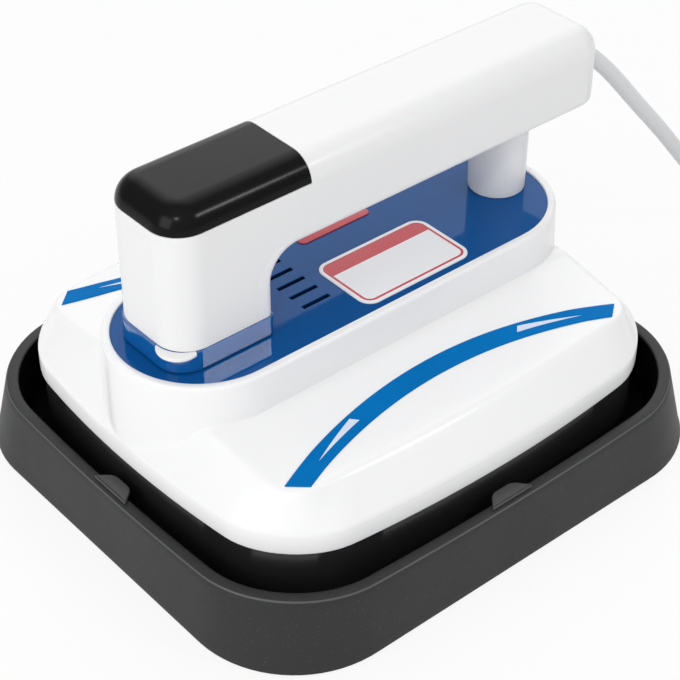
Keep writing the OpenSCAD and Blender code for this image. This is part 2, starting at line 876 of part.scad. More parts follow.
module buzzer() {
    buzzer_h = 7;
    color("#151516") translate([-leg_front + 20, 0, z_board - buzzer_h]) cylinder(r = 6, h = buzzer_h);
}

module power_board() {
    color("#1d6b3c") difference() {
        translate([pillar_x[0] - 8, -pillar_y - 6, z_power - board_t])
            cube([pillar_x[1] - pillar_x[0] + 16, 2 * pillar_y + 12, board_t]);
        for (x = pillar_x, s = [-1, 1]) translate([x, s * pillar_y, z_power - board_t - 1])
            cylinder(r = m3_r + 0.2, h = board_t + 2);
    }
}

module board_screws() {
    color("#9b9ea1") for (x = pillar_x, s = [-1, 1]) translate([x, s * pillar_y, z_power - board_t]) {
        translate([0, 0, -m3_head_h]) cylinder(r = m3_head_r, h = m3_head_h);
        cylinder(r = m3_r, h = board_t + 6);
    }
}

module relay() {
    color("#2456a8") translate([12, -8, z_power]) cube([20, 16, 9]);
}

module terminal_block() {
    color("#2f8f4e") translate([38, -10, z_power]) cube([14, 20, 8]);
}

module element_leads() {
    top = z_power - board_t;
    color("#c8c4b8") for (s = [-1, 1]) tube([
        [element_end_x, s * element_half, z_plate + terminal_h],
        [element_end_x, s * element_half, z_plate + terminal_h + 12],
        [element_end_x - 6, s * (element_half - 14), top - 20], [element_end_x - 18, s * 24, top - 9],
        [45, s * 12, top - 6], [45, s * 12, top]
    ], 1.4, 8, [1, 0.2, 0.1]);
}

module inner_lead() {
    run_z = z_grip + 16;
    color("#2b2b2d") tube([
        relief_root, relief_root - 6 * exit_way, [handle_rear - 22, 0, exit_z + 8.5], [105, 1, exit_z + 7],
        [90, 4, exit_z + 3], [60, 6, run_z], [0, 6, run_z], [-40, 5, run_z - 4], [-60, 3, z_grip + 11],
        [-75, 1, z_grip + 5], [lead_x + 1, 0, z_grip - 10], [lead_x, 0, z_leg + 8], [lead_x, 0, z_deck],
        [lead_x + 5, 0, z_power + 6], [lead_x + 18, 0, z_power + 4],
        [lead_x + 40, 0, z_power + inner_lead_r], [10, 0, z_power + inner_lead_r]
    ], inner_lead_r, 10, [0.05, 1, 0.1]);
}

module cord_grip() {
    color("#d9d9dc") difference() {
        translate([handle_rear - 26, -8, z_grip + cover_t]) cube([9, 16, exit_z - z_grip + 13 - cover_t]);
        translate([handle_rear - 30, 0, exit_z + 8.3]) rotate([0, 90, 0])
            cylinder(r = inner_lead_r + 0.5, h = 20);
    }
}

module strain_relief() {
    color("#dfe0e2") translate(exit_point) rotate([0, 90 + exit_tilt, 0]) {
        translate([0, 0, -relief_in]) cylinder(r = relief_r, h = relief_in);
        cylinder(r1 = relief_r, r2 = relief_tip_r, h = relief_out);
    }
}

// Mains lead

module power_cord() {
    color("#e3e4e6") tube(cord_route, cord_d / 2, 10, [0, 1, 0]);
}

// Place of the lead after t turns: in along the table, up, and out again on top
function coil_point(t) = let(
    turning = layer_turns + climb_turns / 2,
    climb = min(max((t - layer_turns) / climb_turns, 0), 1),
    r = coil_r - coil_pitch * (turning - abs(t - turning)),
    a = 90 - 360 * t
) [coil_x + r * cos(a), coil_y + r * sin(a), cord_low + coil_pitch * climb * climb * (3 - 2 * climb)];

coil_way = [
    [coil_x - cord_d, 0, cord_low],
    for (i = [0:coil_turns * coil_steps]) coil_point(i / coil_steps),
    coil_point(coil_turns) - [cord_d, 0, 0]
];

// Least gap between stretches of the coil that lie over half a turn apart along it
coil_gap = min([
    for (i = [0:len(coil_way) - 1], j = [i + coil_steps / 2:len(coil_way) - 1])
    if (j < len(coil_way)) norm(coil_way[i] - coil_way[j])
]) - cord_d;
echo(coil_gap = coil_gap);

module cord_coil() {
    color("#e3e4e6") tube(coil_way, cord_d / 2, 6, [0, 0, 1]);
}

module coil_tie() {
    slack = 0.9;
    low = coil_inner + coil_pitch / 4 - cord_d / 2 - slack;
    high = coil_r - coil_pitch / 4 + cord_d / 2 + slack;
    top = z_upper + cord_d / 2 + 0.3;
    color("#2a2a2c") translate([coil_x, coil_y - tie_w / 2, 0]) difference() {
        translate([low - tie_t, 0, 0]) cube([high - low + 2 * tie_t, tie_w, top + tie_t]);
        translate([low, -1, tie_t]) cube([high - low, tie_w + 2, top - tie_t]);
    }
}

plug_end = coil_point(coil_turns) - [cord_d, 0, 0];

module plug_body() {
    r = z_upper;
    color("#e3e4e6") translate(plug_end) rotate([0, -90, 0]) rotate_extrude() polygon([
        [0, 0], [cord_d / 2 + 1, 0], [cord_d / 2 + 3, 22], [r - 4, 25], [r - 1, 28], [r, 32],
        [r, plug_l - 2], [r - 2, plug_l], [0, plug_l]
    ]);
}

module plug_pins() {
    color("#c9a55a") for (s = [-1, 1]) translate(plug_end + [-plug_l, s * pin_half, 0])
        rotate([0, -90, 0]) cylinder(r = pin_r, h = pin_l);
}

base_tray();
tray_tabs();
tray_mat();
tray_feet();
heating_plate();
heating_element();
thermal_fuse();
heat_sensor();
insulation_blanket();
heat_shield();
plate_spacers();
plate_screws();
lower_housing();
upper_shell();
housing_screws();
deck_panel();
leg_plinth();
label_plate();
red_strip();
arc_trim_near();
arc_trim_far();
handle_shell();
handle_liner();
toe_lip();
display_cap();
rear_post();
leg_screws();
post_screw();
liner_screws();
control_board();
display_module();
touch_pads();
buzzer();
power_board();
board_screws();
relay();
terminal_block();
element_leads();
inner_lead();
cord_grip();
strain_relief();
power_cord();
cord_coil();
coil_tie();
plug_body();
plug_pins();
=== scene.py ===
import json
import math

import bmesh
import bpy
import numpy as np
from mathutils import Matrix, Vector


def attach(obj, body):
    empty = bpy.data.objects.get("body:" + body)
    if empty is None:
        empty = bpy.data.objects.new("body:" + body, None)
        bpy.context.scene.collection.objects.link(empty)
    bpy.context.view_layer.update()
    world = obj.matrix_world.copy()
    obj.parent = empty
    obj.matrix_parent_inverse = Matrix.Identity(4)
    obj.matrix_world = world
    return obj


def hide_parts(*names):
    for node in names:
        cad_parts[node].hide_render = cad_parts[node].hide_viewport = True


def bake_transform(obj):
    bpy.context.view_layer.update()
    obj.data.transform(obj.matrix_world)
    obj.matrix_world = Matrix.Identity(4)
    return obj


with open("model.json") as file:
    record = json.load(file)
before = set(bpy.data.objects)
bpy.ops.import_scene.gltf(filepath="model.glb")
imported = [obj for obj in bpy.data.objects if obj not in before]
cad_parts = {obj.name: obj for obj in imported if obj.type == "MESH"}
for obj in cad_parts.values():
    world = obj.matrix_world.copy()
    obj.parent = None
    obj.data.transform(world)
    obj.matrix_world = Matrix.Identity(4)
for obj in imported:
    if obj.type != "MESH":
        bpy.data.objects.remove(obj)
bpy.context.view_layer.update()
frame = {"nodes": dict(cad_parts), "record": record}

# Portable heat press in its base tray: shapes, finishes, light and camera.
# Lengths are written in millimetres, as in the part's source, and scaled where meshes are made.

MM = 0.001
scene = bpy.context.scene
scene.view_settings.view_transform = "Standard"

# Camera, as the photo was taken

CAMERA_AT = (-472.1, -557.4, 616.9)
CAMERA_TURN = -40.309
CAMERA_TILT = 37.609
CAMERA_LENS = 99.707


def place_camera():
    turn, tilt = math.radians(CAMERA_TURN), math.radians(CAMERA_TILT)
    back = Vector((math.sin(turn) * math.cos(tilt), -math.cos(turn) * math.cos(tilt), math.sin(tilt)))
    data = bpy.data.cameras.new("photo_camera")
    data.sensor_width = 36
    data.lens = CAMERA_LENS
    data.clip_start, data.clip_end = 0.05, 50
    camera = bpy.data.objects.new("photo_camera", data)
    scene.collection.objects.link(camera)
    camera.location = Vector(CAMERA_AT) * MM
    camera.rotation_mode = "QUATERNION"
    camera.rotation_quaternion = (-back).to_track_quat("-Z", "Y")
    scene.camera = camera


place_camera()

# Finishes


def new_group(name, inputs, outputs):
    group = bpy.data.node_groups.new(name, "ShaderNodeTree")
    for label, kind, value in inputs:
        socket = group.interface.new_socket(label, in_out="INPUT", socket_type=kind)
        if value is not None:
            socket.default_value = value
    for label in outputs:
        group.interface.new_socket(label, in_out="OUTPUT", socket_type="NodeSocketFloat")
    return group, group.nodes.new("NodeGroupInput"), group.nodes.new("NodeGroupOutput")


def noise(tree, scale, detail, roughness):
    node = tree.nodes.new("ShaderNodeTexNoise")
    node.inputs["Scale"].default_value = scale
    node.inputs["Detail"].default_value = detail
    node.inputs["Roughness"].default_value = roughness
    return node


def sums(tree, operation, first, second):
    node = tree.nodes.new("ShaderNodeMath")
    node.operation = operation
    for socket, value in zip(node.inputs, (first, second)):
        if isinstance(value, (int, float)):
            socket.default_value = value
        else:
            tree.links.new(value, socket)
    return node.outputs[0]


def spread(tree, value, low, high, to_low, to_high):
    node = tree.nodes.new("ShaderNodeMapRange")
    tree.links.new(value, node.inputs["Value"])
    for label, number in (("From Min", low), ("From Max", high), ("To Min", to_low), ("To Max", to_high)):
        node.inputs[label].default_value = number
    return node.outputs["Result"]


def moulded_grain():
    """Cloudy shade of the plastic and the fine pebble of the tool it came from."""
    tree, given, put = new_group(
        "moulded_grain",
        [("Place", "NodeSocketVector", None), ("Cloud Scale", "NodeSocketFloat", 18.0),
         ("Pebble Scale", "NodeSocketFloat", 1400.0)],
        ["Shade", "Pebble"],
    )
    cloud = noise(tree, 18, 5, 0.6)
    tree.links.new(given.outputs["Place"], cloud.inputs["Vector"])
    tree.links.new(given.outputs["Cloud Scale"], cloud.inputs["Scale"])
    pebble = tree.nodes.new("ShaderNodeTexVoronoi")
    pebble.feature = "SMOOTH_F1"
    tree.links.new(given.outputs["Place"], pebble.inputs["Vector"])
    tree.links.new(given.outputs["Pebble Scale"], pebble.inputs["Scale"])
    tree.links.new(spread(tree, cloud.outputs["Fac"], 0.3, 0.7, 0, 1), put.inputs["Shade"])
    tree.links.new(pebble.outputs["Distance"], put.inputs["Pebble"])
    return tree


def handling_marks():
    """Patches rubbed by hands and cloths, and fine streaks from wiping."""
    tree, given, put = new_group(
        "handling_marks",
        [("Place", "NodeSocketVector", None), ("Patch Scale", "NodeSocketFloat", 26.0)],
        ["Rubbed", "Dust"],
    )
    patch = noise(tree, 26, 3, 0.55)
    tree.links.new(given.outputs["Place"], patch.inputs["Vector"])
    tree.links.new(given.outputs["Patch Scale"], patch.inputs["Scale"])
    stretch = tree.nodes.new("ShaderNodeMapping")
    stretch.inputs["Scale"].default_value = (1, 9, 6)
    stretch.inputs["Rotation"].default_value = (0, 0, 0.5)
    tree.links.new(given.outputs["Place"], stretch.inputs["Vector"])
    streak = noise(tree, 120, 4, 0.6)
    tree.links.new(stretch.outputs["Vector"], streak.inputs["Vector"])
    worn = spread(tree, patch.outputs["Fac"], 0.48, 0.7, 0, 1)
    rubbed = sums(tree, "MULTIPLY", worn, streak.outputs["Fac"])
    speck = noise(tree, 900, 2, 0.5)
    tree.links.new(given.outputs["Place"], speck.inputs["Vector"])
    tree.links.new(rubbed, put.inputs["Rubbed"])
    tree.links.new(spread(tree, speck.outputs["Fac"], 0.64, 0.74, 0, 1), put.inputs["Dust"])
    return tree


GRAIN = moulded_grain()
MARKS = handling_marks()
# Share of the colour left at the bottom of the painted shade in recesses
PAINTED_RECESS_SHADE = 0.25
DUST_COLOUR = (0.6, 0.6, 0.6)


def finish_of(name, colour, rough, mottle=0.03, pebble=0.0, pebble_scale=1400.0, rubbed=0.08, dust=0.0,
              metallic=0.0, ior=1.5, cloud=18.0, painted_shade_heights=None):
    """A finish from its colour, gloss, pebble depth in millimetres, and marks of use.

    The shade heights give two heights in millimetres, between which the colour darkens downwards: painted
    shade in recesses.
    """
    material = bpy.data.materials.new(name)
    material.use_nodes = True
    tree = material.node_tree
    shader = tree.nodes["Principled BSDF"]
    place = tree.nodes.new("ShaderNodeTexCoord").outputs["Object"]
    grain = tree.nodes.new("ShaderNodeGroup")
    grain.node_tree = GRAIN
    grain.inputs["Cloud Scale"].default_value = cloud
    grain.inputs["Pebble Scale"].default_value = pebble_scale
    marks = tree.nodes.new("ShaderNodeGroup")
    marks.node_tree = MARKS
    for group in (grain, marks):
        tree.links.new(place, group.inputs["Place"])
    tint = tree.nodes.new("ShaderNodeMix")
    tint.data_type = "RGBA"
    tree.links.new(grain.outputs["Shade"], tint.inputs["Factor"])
    tint.inputs["A"].default_value = [c * (1 - mottle) for c in colour] + [1]
    tint.inputs["B"].default_value = [min(c * (1 + mottle), 1) for c in colour] + [1]
    dusted = tree.nodes.new("ShaderNodeMix")
    dusted.data_type = "RGBA"
    tree.links.new(sums(tree, "MULTIPLY", marks.outputs["Dust"], dust), dusted.inputs["Factor"])
    tree.links.new(tint.outputs["Result"], dusted.inputs["A"])
    dusted.inputs["B"].default_value = [*DUST_COLOUR, 1]
    surface = dusted.outputs["Result"]
    # Painted shade: below the given heights the colour darkens, as if in shadow.
    if painted_shade_heights:
        height = tree.nodes.new("ShaderNodeSeparateXYZ")
        tree.links.new(place, height.inputs["Vector"])
        shaded = tree.nodes.new("ShaderNodeMix")
        shaded.data_type = "RGBA"
        low, high = (level * MM for level in painted_shade_heights)
        tree.links.new(spread(tree, height.outputs["Z"], low, high, 0, 1), shaded.inputs["Factor"])
        shaded.inputs["A"].default_value = [c * PAINTED_RECESS_SHADE for c in colour] + [1]
        tree.links.new(surface, shaded.inputs["B"])
        surface = shaded.outputs["Result"]
    tree.links.new(surface, shader.inputs["Base Color"])
    gloss = sums(tree, "ADD", rough, sums(tree, "MULTIPLY", marks.outputs["Rubbed"], rubbed))
    tree.links.new(gloss, shader.inputs["Roughness"])
    if pebble:
        bump = tree.nodes.new("ShaderNodeBump")
        bump.inputs["Distance"].default_value = pebble * MM
        bump.inputs["Strength"].default_value = 1
        tree.links.new(grain.outputs["Pebble"], bump.inputs["Height"])
        tree.links.new(bump.outputs["Normal"], shader.inputs["Normal"])
    shader.inputs["Metallic"].default_value = metallic
    shader.inputs["IOR"].default_value = ior
    return material


FINE = dict(pebble=0.004, pebble_scale=900)
PRINTED = dict(pebble=0.006, pebble_scale=2200)

# Each finish: its colour, its roughness, and what sets it apart from plain moulded plastic
LOOKS = {
    "tray_grey": (
        (0.022, 0.022, 0.023), 0.52, dict(mottle=0.06, pebble=0.05, pebble_scale=1100, dust=0.04, ior=1.38)),
    "tab_grey": ((0.07, 0.07, 0.072), 0.45, dict(mottle=0.05, pebble=0.04, pebble_scale=1300)),
    "mat_black": (
        (0.0015, 0.0015, 0.0016), 0.8, dict(mottle=0.2, pebble=0.25, pebble_scale=420, dust=0.01, ior=1.15)),
    "foot_black": ((0.012, 0.012, 0.012), 0.75, dict(mottle=0.1, pebble=0.06, pebble_scale=900)),
    "plate_alloy": (
        (0.42, 0.43, 0.45), 0.34, dict(mottle=0.08, pebble=0.03, pebble_scale=700, metallic=1.0, rubbed=0.2)),
    "element_steel": ((0.5, 0.5, 0.51), 0.35, dict(mottle=0.08, metallic=1.0, rubbed=0.2)),
    "fuse_ceramic": ((0.68, 0.66, 0.58), 0.6, dict(pebble=0.02)),
    "sensor_brass": ((0.62, 0.40, 0.12), 0.3, dict(metallic=1.0)),
    "blanket_felt": ((0.76, 0.74, 0.66), 0.95, dict(mottle=0.08, pebble=0.4, pebble_scale=500)),
    "shield_sheet": ((0.55, 0.56, 0.58), 0.32, dict(mottle=0.06, metallic=1.0, rubbed=0.25)),
    "fastener_steel": ((0.52, 0.53, 0.54), 0.3, dict(mottle=0.06, metallic=1.0, rubbed=0.2)),
    "skirt_black": ((0.014, 0.014, 0.0145), 0.33, dict(mottle=0.08, pebble=0.02, pebble_scale=1200)),
    "shell_white": ((0.86, 0.86, 0.865), 0.20, dict(mottle=0.006, rubbed=0.10, cloud=9, ior=1.42, **FINE)),
    "deck_blue": (
        (0.001, 0.076, 0.275), 0.05,
        # the deck's slots get painted shade below 101.85 mm
        dict(mottle=0.05, rubbed=0.04, cloud=8, ior=1.24, painted_shade_heights=(101.2, 101.85))),
    "plinth_blue": ((0.003, 0.10, 0.35), 0.05, dict(mottle=0.05, rubbed=0.02, ior=2.5)),
    "label_silver": ((0.88, 0.885, 0.89), 0.42, dict(mottle=0.01, **PRINTED)),
    "strip_red": ((0.58, 0.045, 0.065), 0.40, dict(mottle=0.03, **PRINTED)),
    "trim_blue": ((0.001, 0.155, 0.46), 0.32, dict(mottle=0.08, rubbed=0.06, cloud=30, ior=1.08)),
    "trim_pale": ((0.64, 0.70, 0.84), 0.25, dict(mottle=0.04)),
    "handle_white": ((0.80, 0.80, 0.803), 0.20, dict(mottle=0.006, rubbed=0.12, cloud=9, ior=1.36, **FINE)),
    "liner_white": ((0.82, 0.815, 0.84), 0.32, dict(mottle=0.01, rubbed=0.10, **FINE)),
    "cap_black": ((0.002, 0.002, 0.0021), 0.21, dict(mottle=0.1, rubbed=0.04, ior=1.24)),
    "board_green": ((0.012, 0.15, 0.05), 0.4, dict(mottle=0.1)),
    "module_black": ((0.012, 0.012, 0.013), 0.45, dict(pebble=0.02)),
    "relay_blue": ((0.02, 0.09, 0.38), 0.4, dict(pebble=0.01)),
    "block_green": ((0.03, 0.27, 0.08), 0.4, dict(pebble=0.01)),
    "lead_dark": ((0.024, 0.024, 0.026), 0.55, dict(pebble=0.02)),
    "lead_fibre": ((0.57, 0.55, 0.48), 0.85, dict(pebble=0.08, pebble_scale=900)),
    "cord_grey": ((0.70, 0.705, 0.715), 0.42, dict(mottle=0.03, pebble=0.015, pebble_scale=800, rubbed=0.15)),
    "tie_black": ((0.02, 0.02, 0.022), 0.7, dict(mottle=0.2, pebble=0.12, pebble_scale=1500)),
    "pin_brass": ((0.62, 0.46, 0.18), 0.25, dict(metallic=1.0, rubbed=0.2)),
}
FINISHES = {name: finish_of(name, colour, rough, **more) for name, (colour, rough, more) in LOOKS.items()}
SLOT_OF = {part["node"]: part["material_slot"] for part in frame["record"]["subparts"]}

for name, node in frame["nodes"].items():
    node.data.materials.clear()
    node.data.materials.append(FINISHES[SLOT_OF[name]])

# Bench tools


def clear_bench():
    if bpy.context.object and bpy.context.object.mode != "OBJECT":
        bpy.ops.object.mode_set(mode="OBJECT")
    bpy.ops.object.select_all(action="DESELECT")


def take(*objs):
    """Selects these objects alone, with the first one active."""
    clear_bench()
    for obj in objs:
        obj.select_set(True)
    bpy.context.view_layer.objects.active = objs[0]


def join(objs):
    take(*objs)
    bpy.ops.object.join()
    return objs[0]


def open_mesh(obj):
    take(obj)
    bpy.ops.object.mode_set(mode="EDIT")


def face_out():
    """Selects the whole of an open mesh, with its faces turned outwards."""
    bpy.ops.mesh.select_all(action="SELECT")
    bpy.ops.mesh.normals_make_consistent(inside=False)


def pick(obj, kind, wanted):
    """Selects the verts, edges or faces of an open mesh that answer to wanted."""
    bpy.ops.mesh.select_mode(type={"verts": "VERT", "edges": "EDGE", "faces": "FACE"}[kind])
    bpy.ops.mesh.select_all(action="DESELECT")
    mesh = bmesh.from_edit_mesh(obj.data)
    for part in getattr(mesh, kind):
        if wanted(part):
            part.select_set(True)
    mesh.select_flush_mode()
    bmesh.update_edit_mesh(obj.data)


def close_mesh(obj, name, slot, body, replaced=(), smooth=32):
    """Ends a piece: outward faces, soft shading, its finish, and the body that it rides on."""
    face_out()
    bpy.ops.object.mode_set(mode="OBJECT")
    bpy.ops.object.transform_apply(location=True, rotation=True, scale=True)
    bpy.ops.object.shade_smooth_by_angle(angle=math.radians(smooth))
    obj.name = obj.data.name = name
    if not obj.data.materials:
        obj.data.materials.append(FINISHES[slot])
    if body:
        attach(obj, body)
    if replaced:
        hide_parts(*replaced)
    return obj


def skin(rings, close_first=True, close_last=True):
    """An open mesh drawn ring by ring: a circle, laid on the first ring and extruded to each next one."""
    count = len(rings[0])
    clear_bench()
    bpy.ops.mesh.primitive_circle_add(vertices=count, radius=0.1)
    obj = bpy.context.object
    open_mesh(obj)
    bpy.ops.mesh.select_mode(type="VERT")
    bpy.ops.mesh.select_all(action="SELECT")
    mesh = bmesh.from_edit_mesh(obj.data)
    mesh.verts.ensure_lookup_table()
    for vert, point in zip(mesh.verts, rings[0]):
        vert.co = Vector(point) * MM
    bmesh.update_edit_mesh(obj.data)
    if close_first:
        bpy.ops.mesh.edge_face_add()
    spot = lambda co: tuple(round(c, 7) for c in co)
    for ring in rings[1:]:
        mesh = bmesh.from_edit_mesh(obj.data)
        mesh.verts.ensure_lookup_table()
        order = {spot(mesh.verts[-count + k].co): k for k in range(count)}
        bpy.ops.mesh.extrude_edges_move(TRANSFORM_OT_translate={"value": (0, 0, 0)})
        mesh = bmesh.from_edit_mesh(obj.data)
        mesh.verts.ensure_lookup_table()
        for vert in mesh.verts[-count:]:
            vert.co = Vector(ring[order[spot(vert.co)]]) * MM
        bmesh.update_edit_mesh(obj.data)
    if close_last:
        bpy.ops.mesh.edge_face_add()
    return obj


def soft_edges(obj, wanted, width, segments):
    """Rounds the edges of an open mesh that answer to wanted."""
    pick(obj, "edges", wanted)
    bpy.ops.mesh.bevel(offset=width * MM, segments=segments, profile=0.5, clamp_overlap=False)


def paint(obj, index):
    """Gives the picked faces of an open mesh the material at that place in its list."""
    obj.active_material_index = index
    bpy.ops.object.material_slot_assign()


def block(low, high):
    """An open box mesh between two corners."""
    clear_bench()
    low, high = Vector(low) * MM, Vector(high) * MM
    bpy.ops.mesh.primitive_cube_add(size=1, location=(low + high) / 2)
    obj = bpy.context.object
    obj.scale = high - low
    bpy.ops.object.transform_apply(location=True, rotation=True, scale=True)
    open_mesh(obj)
    return obj


def at(vert, **where):
    """True if a vertex lies on the named planes, within a hair."""
    return all(abs(getattr(vert.co, axis) - value * MM) < 2e-5 for axis, value in where.items())


def lies_on(part, **where):
    """True if an edge or a face lies on the named planes."""
    return all(at(vert, **where) for vert in part.verts)


def upright(edge):
    return abs(edge.verts[0].co.z - edge.verts[1].co.z) > 1e-4


def height_of(face):
    return face.calc_center_median().z / MM


def eased(start, corner, end, steps):
    """Points of a soft corner, without its first point."""
    points = []
    for i in range(1, steps + 1):
        t = i / steps
        shares = (1 - t) ** 2, 2 * t * (1 - t), t * t
        points.append(tuple(sum(s * p for s, p in zip(shares, place)) for place in zip(start, corner, end)))
    return points


# Outlines seen from above

RAYS = 240
ANGLES = [2 * math.pi * (k + 0.5) / RAYS for k in range(RAYS)]


def bowed_outline(half_l, half_w, corner, bow):
    """Reach of a rounded rectangle with swelling sides along each ray from its middle."""
    a, b = half_l - bow, half_w - bow
    points = []
    for turn, (sx, sy) in enumerate(((1, 1), (-1, 1), (-1, -1), (1, -1))):
        for i in range(61):
            t = math.radians(90 * turn + 1.5 * i)
            cx, cy = sx * (a - corner), sy * (b - corner)
            points.append((cx + corner * math.cos(t), cy + corner * math.sin(t)))
        nx, ny = ((-1, 1), (-1, -1), (1, -1), (1, 1))[turn]
        end = math.radians(90 * turn + 90)
        start = points[-1]
        stop = (nx * (a - corner) + corner * math.cos(end), ny * (b - corner) + corner * math.sin(end))
        points += [tuple(p + (q - p) * i / 60 for p, q in zip(start, stop)) for i in range(1, 60)]
    shaped = np.array([
        (x + bow * (1 - (y / b) ** 2) * x / a, y + bow * (1 - (x / a) ** 2) * y / b) for x, y in points
    ])
    angle = np.mod(np.arctan2(shaped[:, 1], shaped[:, 0]), 2 * math.pi)
    order = np.argsort(angle)
    return np.interp(ANGLES, angle[order], np.hypot(shaped[:, 0], shaped[:, 1])[order], period=2 * math.pi)


def ring_at(reach, z):
    heights = z if hasattr(z, "__len__") else [z] * RAYS
    return [(r * math.cos(t), r * math.sin(t), h) for r, t, h in zip(reach, ANGLES, heights)]


# Base tray

TRAY_LOW, TRAY_FLOOR, TRAY_TOP = 0.8, 5.0, 37.8
FOOT_L, FOOT_W, FOOT_CORNER = 145.0, 131.0, 55.8
RIM_L, RIM_W, RIM_CORNER, RIM_BOW, RIM_WIDE = 141.6, 127.6, 51.4, 5.0, 6.0


def rim(inset):
    return bowed_outline(RIM_L - inset, RIM_W - inset, RIM_CORNER - inset, RIM_BOW)


def foot(inset):
    return bowed_outline(FOOT_L - inset, FOOT_W - inset, FOOT_CORNER - inset, 0)


def make_tray():
    """Rings from under the tray, up its side, over its rim and down to its floor."""
    rings = [ring_at(foot(i), z) for i, z in (
        (9, TRAY_LOW), (1.6, TRAY_LOW), (0.6, 1.0), (0.12, 1.6), (0, 2.4))]
    low, top = foot(0), rim(0)
    for share in (0.12, 0.3, 0.5, 0.7, 0.88, 0.965):
        rings.append(ring_at(low + (top - low) * share, TRAY_LOW + (TRAY_TOP - TRAY_LOW) * share))
    rings += [ring_at(rim(i), TRAY_TOP - down) for i, down in (
        (0.05, 0.9), (0.2, 0.45), (0.55, 0.12), (1.1, 0), (3, 0), (4.9, 0), (5.45, 0.12), (5.85, 0.45),
        (RIM_WIDE, 1.0))]
    rings += [ring_at(rim(RIM_WIDE + i), z) for i, z in (
        (0.25, 29), (0.6, 19), (0.85, 9), (0.95, 6.2), (1.2, 5.3), (2.2, TRAY_FLOOR), (10, TRAY_FLOOR))]
    tray = skin(rings)
    for slot in ("tray_grey", "mat_black", "tab_grey"):
        tray.data.materials.append(FINISHES[slot])
    face_out()
    outward = lambda f: f.normal.xy.dot(f.calc_center_median().xy)
    # Painted shade: the tray's inner walls and floor take the near-black mat finish instead of the tray's
    # grey.
    pick(tray, "faces", lambda f: height_of(f) < TRAY_TOP - 0.9 and (outward(f) < -1e-3 or f.normal.z > 0.7))
    paint(tray, 1)
    # Painted highlight: the rounding of the rim's outer edge takes the lighter tab finish.
    pick(tray, "faces", lambda f: TRAY_TOP - 0.8 < height_of(f) < TRAY_TOP - 0.1 and outward(f) > 0)
    paint(tray, 2)
    close_mesh(tray, "tray", "tray_grey", "base", ["base_tray"], smooth=40)


TAB_LONG, TAB_OUTER, TAB_NOSE, TAB_LOW, TAB_HIGH, TAB_SHIFT = 25.0, 3.6, 4.0, 0.25, 1.9, -2.5


def make_tabs():
    """A flap with a narrower nose on the middle of each side of the rim."""
    tabs = []
    for side, (x, y) in enumerate(((0, -1), (1, 0), (0, 1), (-1, 0))):
        tab = block((-TAB_LONG / 2, 0, TAB_LOW), (TAB_LONG / 2, TAB_OUTER + TAB_NOSE, TAB_HIGH))
        pick(tab, "verts", lambda v: v.co.y > 1e-4)
        bpy.ops.transform.resize(value=(0.5, 1, 1))
        soft_edges(tab, lambda e: upright(e) and e.verts[0].co.y > 1e-4, 2.6, 5)
        soft_edges(tab, lambda e: upright(e) and e.verts[0].co.y < 1e-4, 0.8, 3)
        soft_edges(tab, lambda e: lies_on(e, z=TAB_HIGH), 0.6, 3)
        bpy.ops.object.mode_set(mode="OBJECT")
        reach = (RIM_W if y else RIM_L) - RIM_WIDE + TAB_OUTER
        place = Vector((reach * x + TAB_SHIFT * abs(y), reach * y + TAB_SHIFT * abs(x), TRAY_TOP))
        tab.matrix_world = Matrix.Translation(place * MM) @ Matrix.Rotation(math.pi / 2 * side, 4, "Z")
        tabs.append(tab)
    flaps = join(tabs)
    bpy.ops.object.transform_apply(location=True, rotation=True, scale=True)
    open_mesh(flaps)
    close_mesh(flaps, "rim_tabs", "tab_grey", "base", ["tray_tabs"])


# Housing

BODY_L, BODY_W, BODY_CORNER, BODY_BOW = 128.5, 114.0, 35.0, 9.7
SHOULDER_L, SHOULDER_W, SHOULDER_CORNER, SHOULDER_BOW = 110.5, 98.3, 12.0, 4.5
SPLIT, BAND, CROWN, DECK = 48.1, 59.5, 83.0, 102.0
TOP_FALL, TOP_CURVE, END_FROM, END_SLOPE = 6.0, 1.8, 80.0, 0.05
COLLAR_C, COLLAR_R, COLLAR_IN, COLLAR_DRAFT, COLLAR_TOP, SEAT = 81.0, 45.9, 41.7, 0.035, 103.0, 101.4


def housing(inset):
    return bowed_outline(BODY_L - inset, BODY_W - inset, BODY_CORNER - inset, BODY_BOW)


EDGE = housing(0)
SHOULDER = bowed_outline(SHOULDER_L, SHOULDER_W, SHOULDER_CORNER, SHOULDER_BOW)


def top_over(x, y):
    """Height of the shell's top, which sweeps down from the collar's foot to the shoulder."""
    out = min(max((SHOULDER_W - abs(y)) / (SHOULDER_W - COLLAR_R), 0), 1)
    return CROWN - TOP_FALL * (1 - out ** TOP_CURVE) - END_SLOPE * max(abs(x) - END_FROM, 0)


def crown(x, y, edge, rim):
    """Height of the shell over a point, on a ray that meets its shoulder at rim and its side at edge."""
    reach = math.hypot(x, y)
    shoulder = top_over(x * rim / reach, y * rim / reach)
    flank = BAND + (shoulder - BAND) * (edge - reach) / (edge - rim)
    top = top_over(x, y)
    return min(flank, top) - math.log(1 + math.exp(-abs(flank - top)))


def crown_over(x, y):
    angle = math.atan2(y, x) % (2 * math.pi)
    return crown(x, y, *(np.interp(angle, ANGLES, reach, period=2 * math.pi) for reach in (EDGE, SHOULDER)))


def collar_reach(angle, radius):
    """Reach of a flat bar with round ends along a ray."""
    c, s = abs(math.cos(angle)), abs(math.sin(angle))
    if s > 1e-9 and radius * c / s <= COLLAR_C:
        return radius / s
    return COLLAR_C * c + math.sqrt(max(radius ** 2 - (COLLAR_C * s) ** 2, 0))


